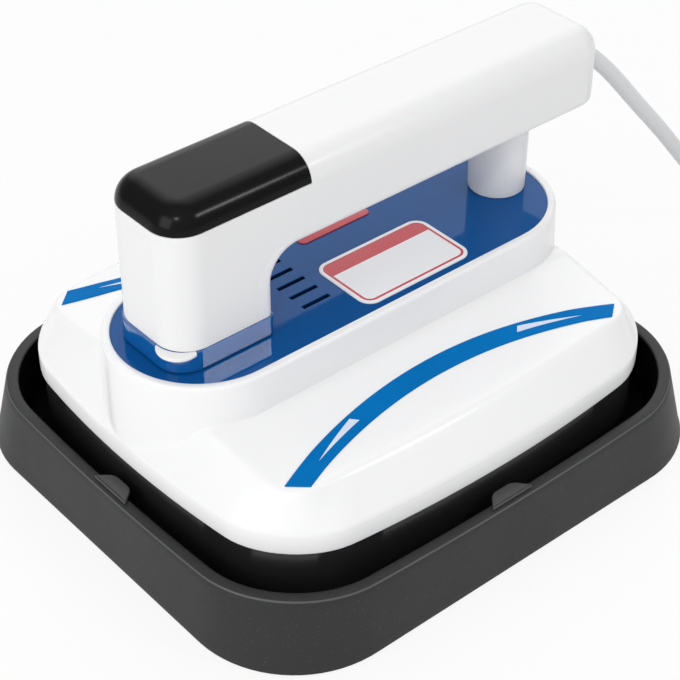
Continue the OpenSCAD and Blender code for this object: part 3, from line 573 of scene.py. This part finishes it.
def shell_profile(k):
    """The shell's section along one ray, as (reach, height) from its lower edge to the deck's seat."""
    angle, edge, rim = ANGLES[k], EDGE[k], SHOULDER[k]
    wall = lambda z: collar_reach(angle, COLLAR_R + COLLAR_DRAFT * max(SEAT - z, 0))
    over = lambda r: crown(r * math.cos(angle), r * math.sin(angle), edge, rim)
    low, high = BAND - 1, 95.0
    for _ in range(40):
        mid = (low + high) / 2
        low, high = (mid, high) if over(wall(mid)) > mid else (low, mid)
    foot_z, foot_r = low, wall(low)
    room = edge - foot_r
    band_ease, foot_ease = min(1.4, 0.42 * room), min(0.5, 0.42 * room)
    points = [(edge - 2.4, SPLIT + 1.5), (edge - 2.4, SPLIT), (edge - 1.0, SPLIT)]
    points += eased(points[-1], (edge - 0.15, SPLIT), (edge - 0.1, SPLIT + 1.0), 4)
    points += [(edge - 0.02, SPLIT + 3.5), (edge, SPLIT + 6.0), (edge - 0.05, BAND - 1.4)]
    points += eased(points[-1], (edge - 0.1, BAND), (edge - band_ease, over(edge - band_ease)), 5)
    spots = np.linspace(edge - band_ease, foot_r + foot_ease, 200)
    weight = np.cumsum(1 + 8 * np.exp(-((spots - rim) / 2.5) ** 2))
    spots = np.interp(np.linspace(weight[0], weight[-1], 28)[1:], weight, spots)
    points += [(r, over(r)) for r in spots]
    rise = foot_ease + 0.1
    points += eased(points[-1], (foot_r, foot_z), (wall(foot_z + rise), foot_z + rise), 5)
    brow = COLLAR_TOP - 2.4
    points += [(wall(z), z) for z in np.linspace(foot_z + rise, brow, 6)[1:]]
    out = lambda more: collar_reach(angle, COLLAR_R + more)
    points += eased((out(0.05), brow), (out(-0.05), COLLAR_TOP), (out(-1.6), COLLAR_TOP), 6)
    into = lambda more: collar_reach(angle, COLLAR_IN + more)
    points += [(into(1.9), COLLAR_TOP)]
    points += eased((into(1.0), COLLAR_TOP), (into(0.02), COLLAR_TOP), (into(0), COLLAR_TOP - 0.8), 4)
    points += [(into(0), SEAT)]
    return points


def make_shell():
    profiles = [shell_profile(k) for k in range(RAYS)]
    rings = [ring_at(*zip(*level)) for level in zip(*profiles)]
    shell = skin(rings, close_first=False, close_last=False)
    close_mesh(shell, "shell", "shell_white", "press", ["upper_shell"], smooth=60)


# The skirt's section from its shelf, round its lower edge and up to its tongue, as (inset, height)
SKIRT_SECTION = [
    (30, 36.0), (4.6, 36.0), (4.3, 35.4), (4.3, 15.0), (4.0, 14.3), (3.4, 14.0), (2.6, 14.0), (2.0, 14.3),
    (1.8, 15.0), (1.8, 24), (1.8, 36), (1.8, 47.4), (2.2, 47.9), (2.65, 48.0), (2.65, 52.6), (4.2, 52.6)]


def make_skirt():
    skirt = skin([ring_at(housing(i), z) for i, z in SKIRT_SECTION], close_first=False, close_last=False)
    close_mesh(skirt, "skirt", "skirt_black", "press", ["lower_housing"], smooth=40)


# Handle

HANDLE_FRONT, HANDLE_REAR, HANDLE_HALF = -112.5, 147.5, 26.0
LEG_REAR, LEG_LOW, BEAM_LOW, CAP_LOW, HANDLE_TOP = -59.5, 113.5, 145.0, 173.4, 185.4
CAP_REAR, CAP_GAP, SEAM, SEAM_EASE = -37.0, 0.15, -68.2, 0.35
GROOVE_INSET, GROOVE_WIDE, GROOVE_DEEP = 1.6, 0.4, 0.7
FRONT_ROUND, INNER_ROUND, REAR_ROUND, TOP_ROUND, SIDE_ROUND, FOOT_ROUND = 16, 15, 13.2, 12.5, 4, 0.7
CUT_HALF = 40


def copy_of(obj):
    take(obj)
    bpy.ops.object.duplicate()
    return bpy.context.object


def change(obj, kind, **settings):
    """Adds a modifier with these settings, and applies it."""
    take(obj)
    bpy.ops.object.modifier_add(type=kind)
    modifier = obj.modifiers[-1]
    for label, value in settings.items():
        setattr(modifier, label, value)
    bpy.ops.object.modifier_apply(modifier=modifier.name)


def cut(obj, tool, operation):
    """Cuts a mesh with another one, and keeps the tool."""
    change(obj, "BOOLEAN", operation=operation, object=tool, solver="EXACT")


def scrap(*tools):
    take(*tools)
    bpy.ops.object.delete()


def even_flats(obj):
    """Keeps large flats flat in the shading of their rounded edges."""
    change(obj, "WEIGHTED_NORMAL", keep_sharp=True)


def ease_cut(obj, on_cut, width):
    """Softens the outer edge of a cut, whose faces answer to the test."""
    open_mesh(obj)
    pick(obj, "faces", on_cut)
    bpy.ops.mesh.region_to_loop()
    bpy.ops.mesh.bevel(offset=width * MM, segments=2, clamp_overlap=True)


def prism(outline):
    """A cutter wider than the handle, with that outline in x and z, left closed."""
    tool = skin([[(x, y, z) for x, z in outline] for y in (-CUT_HALF, CUT_HALF)])
    face_out()
    bpy.ops.object.mode_set(mode="OBJECT")
    return tool


def handle_form():
    """The whole handle as one closed form: a beam, its front leg, and all their rounds."""
    handle = block((HANDLE_FRONT, -HANDLE_HALF, BEAM_LOW), (HANDLE_REAR, HANDLE_HALF, HANDLE_TOP))
    bpy.ops.mesh.select_all(action="SELECT")
    bpy.ops.mesh.bisect(plane_co=(LEG_REAR * MM, 0, 0), plane_no=(1, 0, 0))
    pick(handle, "faces", lambda f: lies_on(f, z=BEAM_LOW) and f.calc_center_median().x < LEG_REAR * MM)
    bpy.ops.mesh.extrude_region_move(TRANSFORM_OT_translate={"value": (0, 0, (LEG_LOW - BEAM_LOW) * MM)})
    bpy.ops.mesh.select_all(action="SELECT")
    bpy.ops.mesh.dissolve_limited(angle_limit=math.radians(1))
    soft_edges(handle, lambda e: lies_on(e, x=HANDLE_FRONT) and upright(e), FRONT_ROUND, 12)
    soft_edges(handle, lambda e: lies_on(e, x=LEG_REAR, z=BEAM_LOW), INNER_ROUND, 12)
    soft_edges(handle, lambda e: lies_on(e, x=HANDLE_REAR) and upright(e), REAR_ROUND, 10)
    soft_edges(handle, lambda e: lies_on(e, z=HANDLE_TOP), TOP_ROUND, 12)
    sharp = lambda e: len(e.link_faces) == 2 and e.calc_face_angle() > 0.9
    soft_edges(handle, lambda e: sharp(e) and not lies_on(e, z=LEG_LOW), SIDE_ROUND, 6)
    soft_edges(handle, lambda e: sharp(e) and lies_on(e, z=LEG_LOW), FOOT_ROUND, 3)
    face_out()
    bpy.ops.object.mode_set(mode="OBJECT")
    return handle


def liner_outline():
    """The liner from the side: the rear of the leg, tapering off round the inner corner."""
    low, mid_x, mid_z = 112.0, -44.5, 130.0
    points = [(SEAM, low), (SEAM, mid_z)]
    for turn, reach in (
            (170, 23.5), (160, 23.1), (150, 22.7), (140, 22.2), (130, 21.7), (122, 20.8), (114, 19.3),
            (106, 17.4), (98, 15.6)):
        t = math.radians(turn)
        points.append((mid_x + reach * math.cos(t), mid_z + reach * math.sin(t)))
    return points + [(-44.8, 143.0), (-53.0, 136.0), (-57.0, 126.0), (-57.0, low)]


def cap_room(gap):
    """A cutter round the cap's place, short of its seams by the gap and well clear of its front and top."""
    front, high = -130, 200
    rear, low = CAP_REAR - gap, CAP_LOW + gap
    return prism([(front, low), (rear, low), (rear, high), (front, high)])


def make_handle():
    """Parts the handle's form into its shell, cap and liner along their seams."""
    form = handle_form()
    room, cap_tool, liner_tool = cap_room(0), cap_room(CAP_GAP), prism(liner_outline())
    cap, liner = copy_of(form), copy_of(form)
    cut(cap, cap_tool, "INTERSECT")
    cut(liner, liner_tool, "INTERSECT")
    cut(form, room, "DIFFERENCE")
    cut(form, liner_tool, "DIFFERENCE")
    scrap(room, cap_tool, liner_tool)
    ease_cut(form, lambda f: lies_on(f, z=CAP_LOW) or lies_on(f, x=CAP_REAR), SEAM_EASE)
    pick(form, "faces", lambda f: lies_on(f, z=BEAM_LOW))
    for inset, step in ((GROOVE_INSET, GROOVE_DEEP), (GROOVE_WIDE, -GROOVE_DEEP)):
        bpy.ops.mesh.inset(thickness=inset * MM, use_even_offset=True)
        bpy.ops.mesh.extrude_region_move(TRANSFORM_OT_translate={"value": (0, 0, step * MM)})
    even_flats(close_mesh(form, "handle", "handle_white", "press", ["handle_shell"], smooth=34))
    ease_cut(cap, lambda f: lies_on(f, z=CAP_LOW + CAP_GAP) or lies_on(f, x=CAP_REAR - CAP_GAP), SEAM_EASE)
    even_flats(close_mesh(cap, "display_cover", "cap_black", "press", ["display_cap"], smooth=34))
    open_mesh(liner)
    even_flats(close_mesh(liner, "grip_liner", "liner_white", "press", ["handle_liner"], smooth=34))


# Plinth, lip, post and plates on the deck

PLINTH_FRONT, PLINTH_REAR, PLINTH_HALF, PLINTH_ROUND, PLINTH_TIGHT = -113.5, -58.5, 25.5, 14.5, 3
JOINT_TOP = 102.84

# The plinth's section from the groove at its foot, painted dark as shade, to its top, as (draft, inset,
# height)
PLINTH_SECTION = [
    (0, 0.6, 102.02), (0, 0.6, 102.75), (0, 0.05, 102.85), (0.03, 0, 103.1), (0.03, 0, 103.3), (0.03, 0, 108),
    (0.03, 0, 112.6), (0.03, 0, 112.75), (0.4, 0, 113.1), (1, 0.4, 113.5), (1, 2.5, 113.5)]


def plinth_outline(draft, inset, z):
    """The plinth seen from above: round front corners, tight rear ones."""
    low_x, high_x = PLINTH_FRONT + draft + inset, PLINTH_REAR - draft - inset
    half, front, rear = PLINTH_HALF - draft - inset, PLINTH_ROUND - inset, PLINTH_TIGHT - min(inset, 2.5)
    points = []
    for cx, cy, r, start in (
            (high_x - rear, half - rear, rear, 0), (low_x + front, half - front, front, 90),
            (low_x + front, front - half, front, 180), (high_x - rear, rear - half, rear, 270)):
        for i in range(13):
            t = math.radians(start + 7.5 * i)
            points.append((cx + r * math.cos(t), cy + r * math.sin(t), z))
    return points


def make_plinth():
    plinth = skin([plinth_outline(*step) for step in PLINTH_SECTION])
    for slot in ("plinth_blue", "skirt_black"):
        plinth.data.materials.append(FINISHES[slot])
    # Painted shade: the groove below the joint takes the black skirt finish.
    pick(plinth, "faces", lambda f: height_of(f) < JOINT_TOP)
    paint(plinth, 1)
    even_flats(close_mesh(plinth, "leg_plinth", "plinth_blue", "press", ["leg_plinth"], smooth=40))


TOE_MID, TOE_R, TOE_LOW, TOE_HIGH = (-105.2, -15.8), 10.3, 111.1, 113.3
HEEL_MID, HEEL_R = (-98, -10), 14.1


def bend(middle, radius, start, turn, steps=24):
    """Points of a bend seen from above, from a starting direction through a turn in degrees."""
    ways = [math.radians(start + turn * i / steps) for i in range(steps + 1)]
    return [(middle[0] + radius * math.cos(t), middle[1] + radius * math.sin(t)) for t in ways]


def make_toe():
    """The small crescent lip at the near front corner of the leg."""
    outline = bend(TOE_MID, TOE_R, 146, 138) + bend(HEEL_MID, HEEL_R, 254, -76)
    toe = skin([[(x, y, z) for x, y in outline] for z in (TOE_LOW, TOE_HIGH)])
    flat = lambda e: lies_on(e, z=TOE_LOW) or lies_on(e, z=TOE_HIGH)
    shown = lambda v: math.dist((v.co.x / MM, v.co.y / MM), HEEL_MID) > HEEL_R + 0.5
    soft_edges(toe, lambda e: flat(e) and all(shown(v) for v in e.verts), 0.8, 4)
    close_mesh(toe, "toe_lip", "handle_white", "press", ["toe_lip"], smooth=50)


POST_X, POST_R, POST_FLARE, POST_STEPS = 103.5, 14.3, 0.7, 8


def make_post():
    """A round post that widens upwards, with a soft foot."""
    ways = [2 * math.pi * i / 72 for i in range(72)]
    circle = lambda r, z: [(POST_X + r * math.cos(t), r * math.sin(t), z) for t in ways]
    rings = [circle(r, z) for r, z in ((13.4, 102.02), (14.0, 102.1), (14.27, 102.4), (14.32, 103))]
    rings += [circle(POST_R + POST_FLARE * i / POST_STEPS, DECK + (BEAM_LOW - DECK) * i / POST_STEPS)
              for i in range(1, POST_STEPS)]
    rings += [circle(15, 144.9), circle(14, 144.98)]
    close_mesh(skin(rings), "rear_post", "handle_white", "press", ["rear_post"], smooth=50)


LABEL_AT, LABEL_SIZE, LABEL_CORNER = (19.1, -17.7), (66.5, 39.7), 7
HEADER, LINE_IN, LINE_WIDE = 11.2, 1.75, 1.3
STRIP_AT, STRIP_SIZE, STRIP_CORNER = (16.3, 25.6), (43.5, 10.6), 3
PLATE_TOP = DECK + 0.6


def plate(middle, size, corner):
    """A flat plate on the deck with round corners and a soft upper edge, left open with its top picked."""
    (x, y), (l, w) = middle, size
    obj = block((x - l / 2, y - w / 2, DECK + 0.02), (x + l / 2, y + w / 2, PLATE_TOP))
    soft_edges(obj, upright, corner, 10)
    soft_edges(obj, lambda e: lies_on(e, z=PLATE_TOP), 0.15, 2)
    pick(obj, "faces", lambda f: lies_on(f, z=PLATE_TOP))
    return obj


def make_label():
    """A blank rating plate: a white field in a red line, and a plain red band along its far side."""
    label = plate(LABEL_AT, LABEL_SIZE, LABEL_CORNER)
    for slot in ("label_silver", "strip_red"):
        label.data.materials.append(FINISHES[slot])
    for inset, index in ((LINE_IN, 1), (LINE_WIDE, 0)):
        bpy.ops.mesh.inset(thickness=inset * MM)
        paint(label, index)
    head = (LABEL_AT[1] + LABEL_SIZE[1] / 2 - HEADER) * MM
    bpy.ops.mesh.bisect(plane_co=(0, head, 0), plane_no=(0, 1, 0))
    field = lambda f: f.calc_area() > 3e-4 and f.normal.z > 0.9
    pick(label, "faces", lambda f: field(f) and f.calc_center_median().y > head)
    paint(label, 1)
    close_mesh(label, "label_plate", "label_silver", "press", ["label_plate"], smooth=30)


def make_strip():
    strip = plate(STRIP_AT, STRIP_SIZE, STRIP_CORNER)
    close_mesh(strip, "red_strip", "strip_red", "press", ["red_strip"], smooth=30)


# Arc inlays on the dome; where two values are given, they are for the front and the rear half

ARC_INNER, ARC_INNER_SWEEP = 63.3, (22, 23)
ARC_OUTER, ARC_OUTER_SWEEP = 73.6, 19.3
ARC_REACH, ARC_SLANT, ARC_HIGH, ARC_DEEP = (102.8, 101), 8.5, 0.6, 1.4
WEDGE_START, WEDGE_END, WEDGE_SLANT = (0.54, 0.505), 0.84, 0.015
WEDGE_IN, WEDGE_WIDE, WEDGE_HIGH, WEDGE_DEEP = 0.21, 0.37, 0.63, 0.4


def arc_place(u, w):
    """A point of the near inlay: u from -1 to 1 along it, w from 0 at its inner to 1 at its outer edge."""
    half = u > 0
    inner, outer = ARC_INNER + ARC_INNER_SWEEP[half] * u * u, ARC_OUTER + ARC_OUTER_SWEEP * u * u
    return u * (ARC_REACH[half] - ARC_SLANT * w), -(inner + (outer - inner) * w)


def wedge_place(end, s, t):
    """A point of the wedge at one end of an inlay, as u and w: s along it, t across it."""
    start = WEDGE_START[end > 0] - WEDGE_SLANT * t
    return end * (start + (WEDGE_END - start) * s), WEDGE_IN + WEDGE_WIDE * (s + t - s * t)


def arc_sheet(counts, spot, side, high, deep):
    """A thin sheet on the crown with a turned-down edge, from a grid mapped by spot; left open."""
    clear_bench()
    bpy.ops.mesh.primitive_grid_add(x_subdivisions=counts[0], y_subdivisions=counts[1], size=2)
    sheet = bpy.context.object
    open_mesh(sheet)
    mesh = bmesh.from_edit_mesh(sheet.data)
    for vert in mesh.verts:
        x, y = arc_place(*spot((vert.co.x + 1) / 2, (vert.co.y + 1) / 2))
        vert.co = Vector((x, side * y, crown_over(x, y) + high)) * MM
    bmesh.update_edit_mesh(sheet.data)
    bpy.ops.mesh.select_all(action="SELECT")
    bpy.ops.mesh.region_to_loop()
    bpy.ops.mesh.extrude_edges_move(TRANSFORM_OT_translate={"value": (0, 0, -deep * MM)})
    return sheet


def make_arc(name, side, node):
    """A blue inlay with a slim pale wedge near each end."""
    arc = arc_sheet((110, 6), lambda s, t: (2 * s - 1, t), side, ARC_HIGH, ARC_DEEP)
    soft_edges(arc, lambda e: len(e.link_faces) == 2 and e.calc_face_angle() > 0.8, 0.35, 3)
    bpy.ops.object.mode_set(mode="OBJECT")
    arc.data.materials.append(FINISHES["trim_blue"])
    for end in (-1, 1):
        wedge = arc_sheet((24, 3), lambda s, t: wedge_place(end, s, t), side, WEDGE_HIGH, WEDGE_DEEP)
        bpy.ops.object.mode_set(mode="OBJECT")
        wedge.data.materials.append(FINISHES["trim_pale"])
        join([arc, wedge])
    open_mesh(arc)
    close_mesh(arc, name, "trim_blue", "press", [node], smooth=40)


# Lead: where it leaves the handle, its way down, its tied coil and its plug

EXIT, DROP = Vector((147.5, 0, 163.7)), math.radians(32)
OUT = Vector((math.cos(DROP), 0, -math.sin(DROP)))
CORD_D, RELIEF_LONG = 8.5, 16
COIL_X, COIL_Y, COIL_LOW, COIL_R, COIL_PITCH = 332, -58, 5.5, 58, 9.1
COIL_TURNS, COIL_STEPS, LIFT_FROM, LIFT_OVER = 5.5, 40, 2.5, 0.5
PLUG_AT, PLUG_LONG, PIN_HALF, PLUG_WAY = Vector((323.5, -116, 14.6)), 58, 9.5, Vector((-1, 0, 0))
TIE_LOW, TIE_HIGH, TIE_THICK = (363.4, -63, 0), (393.9, -53, 20.15), 1

# The lead's way from the strain relief down to the coil, as (x, z)
FALL = [
    (170, 148.6), (175.5, 143.3), (181.2, 137.6), (190.7, 127.2), (199.3, 117.3), (209.8, 105.4),
    (220.5, 93.5), (233.6, 78.5), (252, 56.5), (268, 38.5), (280, 26), (291, 15.8), (301, 9.2), (309, 6.2),
    (315, 5.5), (323.5, 5.5)]


def coil_point(t):
    """The coil after t turns: it winds inwards, climbs by one layer, and winds outwards again."""
    half = COIL_TURNS / 2
    r = COIL_R - COIL_PITCH * (half - abs(t - half))
    a = math.radians(90 - 360 * t)
    c = min(max((t - LIFT_FROM) / LIFT_OVER, 0), 1)
    z = COIL_LOW + COIL_PITCH * c * c * (3 - 2 * c)
    return Vector((COIL_X + r * math.cos(a), COIL_Y + r * math.sin(a), z))


def smooth_way(points, steps):
    """A soft line through all the points."""
    way = [points[0]]
    for i in range(len(points) - 1):
        a, b, c, d = (points[min(max(i + j, 0), len(points) - 1)] for j in (-1, 0, 1, 2))
        for k in range(1, steps + 1):
            t = k / steps
            bow, twist = 2 * a - 5 * b + 4 * c - d, 3 * b - a - 3 * c + d
            way.append(0.5 * ((2 * b) + (c - a) * t + bow * t * t + twist * t ** 3))
    return way


def cord_way():
    """The lead's middle line from the strain relief to the plug."""
    tip = EXIT + RELIEF_LONG * OUT
    fall = smooth_way([tip, tip + 5 * OUT] + [Vector((x, 0, z)) for x, z in FALL], 4)
    coil = [coil_point(i / COIL_STEPS) for i in range(round(COIL_TURNS * COIL_STEPS) + 1)]
    return fall + coil + [PLUG_AT]


def tube(way, radius, sides):
    """A mesh tube along a line, made from a curve with a round section."""
    clear_bench()
    bpy.ops.curve.primitive_bezier_curve_add()
    curve = bpy.context.object
    curve.data.splines.clear()
    spline = curve.data.splines.new("POLY")
    spline.points.add(len(way) - 1)
    for point, place in zip(spline.points, way):
        point.co = (*(place * MM), 1)
    curve.data.dimensions = "3D"
    curve.data.twist_mode = "MINIMUM"
    curve.data.bevel_depth = radius * MM
    curve.data.bevel_resolution = sides
    curve.data.use_fill_caps = True
    bpy.ops.object.convert(target="MESH")
    open_mesh(bpy.context.object)
    return bpy.context.object


def ring_about(middle, along, radius, count):
    side = Vector((0, 1, 0))
    up = along.cross(side)
    ways = [2 * math.pi * i / count for i in range(count)]
    return [middle + radius * (side * math.cos(t) + up * math.sin(t)) for t in ways]


def turned(places, start, along, count=48):
    """A turned piece from (distance, radius) pairs along a line."""
    return skin([ring_about(start + d * along, along, r, count) for d, r in places])


def make_relief():
    """A tapered boot with four grooves."""
    places = [(-8, 6.4), (-8, 7), (0, 7), (1.2, 6.95), (1.6, 6.6)]
    for i in range(4):
        d = 2.4 + 3.2 * i
        r = 6.75 - 0.1 * d
        places += [
            (d, r - 0.75), (d + 0.5, r - 0.75), (d + 0.8, r - 0.1), (d + 2.2, r - 0.15), (d + 2.5, r - 0.8)]
    places += [(15.4, 5.2), (15.9, 5.0), (RELIEF_LONG, 4.5)]
    close_mesh(turned(places, EXIT, OUT), "strain_relief", "cord_grey", "press", ["strain_relief"], smooth=35)


def make_plug():
    """A round plug with a ribbed neck."""
    profile = [(0, 4.6), (0, 5.2), (1, 5.3)]
    for i in range(5):
        d = 2.5 + 3.8 * i
        r = 5.25 + 2 * d / 22
        profile += [(d, r), (d + 0.3, r - 0.7), (d + 1.1, r - 0.7), (d + 1.4, r + 0.12)]
    profile += [
        (21.8, 7.3), (23.2, 8.6), (25, 10.6), (27, 12.8), (29, 13.9), (32, 14.55), (36, 14.6), (48, 14.6),
        (55.6, 14.6), (57, 14.2), (57.8, 13.4), (PLUG_LONG, 12.4), (PLUG_LONG, 6)]
    plug = turned(profile, PLUG_AT, PLUG_WAY, 64)
    return close_mesh(plug, "plug", "cord_grey", "base", ["plug_body"], smooth=35)


def make_pins():
    profile = [(-1, 2.4), (16.5, 2.4), (17.6, 2.2), (18.4, 1.75), (18.85, 1.1), (19, 0.5)]
    pins = []
    for side in (-PIN_HALF, PIN_HALF):
        pins.append(turned(profile, PLUG_AT + Vector((-PLUG_LONG, side, 0)), PLUG_WAY, 24))
        bpy.ops.object.mode_set(mode="OBJECT")
    pair = join(pins)
    open_mesh(pair)
    return close_mesh(pair, "plug_pins", "pin_brass", "base", ["plug_pins"], smooth=40)


def make_tie():
    """A flat strap round one side of the coil."""
    tie = block(TIE_LOW, TIE_HIGH)
    pick(tie, "faces", lambda f: abs(f.normal.y) > 0.5)
    bpy.ops.mesh.delete(type="ONLY_FACE")
    soft_edges(tie, lambda e: abs(e.verts[0].co.y - e.verts[1].co.y) > 0.005, 2.5, 6)
    face_out()
    change(tie, "SOLIDIFY", thickness=TIE_THICK * MM, offset=-1)
    open_mesh(tie)
    soft_edges(tie, lambda e: len(e.link_faces) == 2 and e.calc_face_angle() > 1.2, 0.25, 2)
    return close_mesh(tie, "coil_tie", "tie_black", "base", ["coil_tie"], smooth=40)


def make_cord(*on_it):
    """The whole lead as one smooth-shaded piece; the pieces that lie on it are passed in but not used."""
    way = cord_way()
    cord = tube(way, CORD_D / 2, 6)
    close_mesh(cord, "power_lead", "cord_grey", None, ["power_cord", "cord_coil"], smooth=60)
    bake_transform(cord)


make_tray()
make_tabs()
make_shell()
make_skirt()
make_handle()
make_plinth()
make_toe()
make_post()
make_label()
make_strip()
make_arc("arc_near", 1, "arc_trim_near")
make_arc("arc_far", -1, "arc_trim_far")
make_relief()
make_cord(make_plug(), make_pins(), make_tie())

# Light and floor

FLOOR_GLOW, STUDIO_LEVEL = 0.86, 0.39


def lamp(name, at, to, size, power):
    data = bpy.data.lights.new(name, "AREA")
    data.shape = "RECTANGLE"
    data.size, data.size_y = size
    data.energy = power
    obj = bpy.data.objects.new(name, data)
    scene.collection.objects.link(obj)
    obj.location = at
    obj.rotation_mode = "QUATERNION"
    obj.rotation_quaternion = (Vector(to) - Vector(at)).to_track_quat("-Z", "Y")


def make_floor():
    """A pale floor that takes shadows, and mostly glows where it is looked at."""
    clear_bench()
    bpy.ops.mesh.primitive_plane_add(size=14, location=(0, 0, 0))
    floor = bpy.context.object
    floor.name = "floor"
    material = bpy.data.materials.new("pale_floor")
    material.use_nodes = True
    tree = material.node_tree
    shader = tree.nodes["Principled BSDF"]
    shader.inputs["Base Color"].default_value = (0.82, 0.82, 0.82, 1)
    shader.inputs["Roughness"].default_value = 0.9
    glow = tree.nodes.new("ShaderNodeEmission")
    glow.inputs["Strength"].default_value = 1
    mix = tree.nodes.new("ShaderNodeMixShader")
    seen = tree.nodes.new("ShaderNodeLightPath")
    straight = sums(tree, "MAXIMUM", seen.outputs["Is Camera Ray"], seen.outputs["Is Glossy Ray"])
    straight = sums(tree, "MAXIMUM", straight, seen.outputs["Is Transmission Ray"])
    tree.links.new(sums(tree, "MULTIPLY", straight, FLOOR_GLOW), mix.inputs["Fac"])
    tree.links.new(shader.outputs[0], mix.inputs[1])
    tree.links.new(glow.outputs[0], mix.inputs[2])
    tree.links.new(mix.outputs[0], tree.nodes["Material Output"].inputs["Surface"])
    floor.data.materials.append(material)


def make_studio():
    """A plain bright surround, brighter in front and behind."""
    world = bpy.data.worlds.new("studio")
    scene.world = world
    world.use_nodes = True
    tree = world.node_tree
    sky = tree.nodes["Background"]
    sky.inputs["Color"].default_value = (1, 1, 1, 1)
    look = tree.nodes.new("ShaderNodeTexCoord").outputs["Generated"]

    def towards(way, low, high, strength):
        """A soft bright part of the studio, round one direction."""
        facing = tree.nodes.new("ShaderNodeVectorMath")
        facing.operation = "DOT_PRODUCT"
        facing.inputs[1].default_value = way
        tree.links.new(look, facing.inputs[0])
        return spread(tree, facing.outputs["Value"], low, high, 0, strength)

    front = towards((-0.45, -0.53, 0.72), 0, 1, 0.46)
    rear = towards((0.57, 0.59, 0.57), 0.75, 0.95, 1.5)
    tree.links.new(sums(tree, "ADD", sums(tree, "ADD", front, rear), STUDIO_LEVEL), sky.inputs["Strength"])


make_floor()
make_studio()
lamp("soft_left", (-1.6, -0.2, 0.9), (0, 0, 0.08), (1.0, 1.2), 9.5)
lamp("key", (-0.75, -0.61, 1.22), (-0.05, 0, 0.15), (0.09, 0.09), 2.0)
lamp("near_box", (0.669, -1.037, 1.078), (0, 0, 0.12), (0.20, 0.14), 2.6)
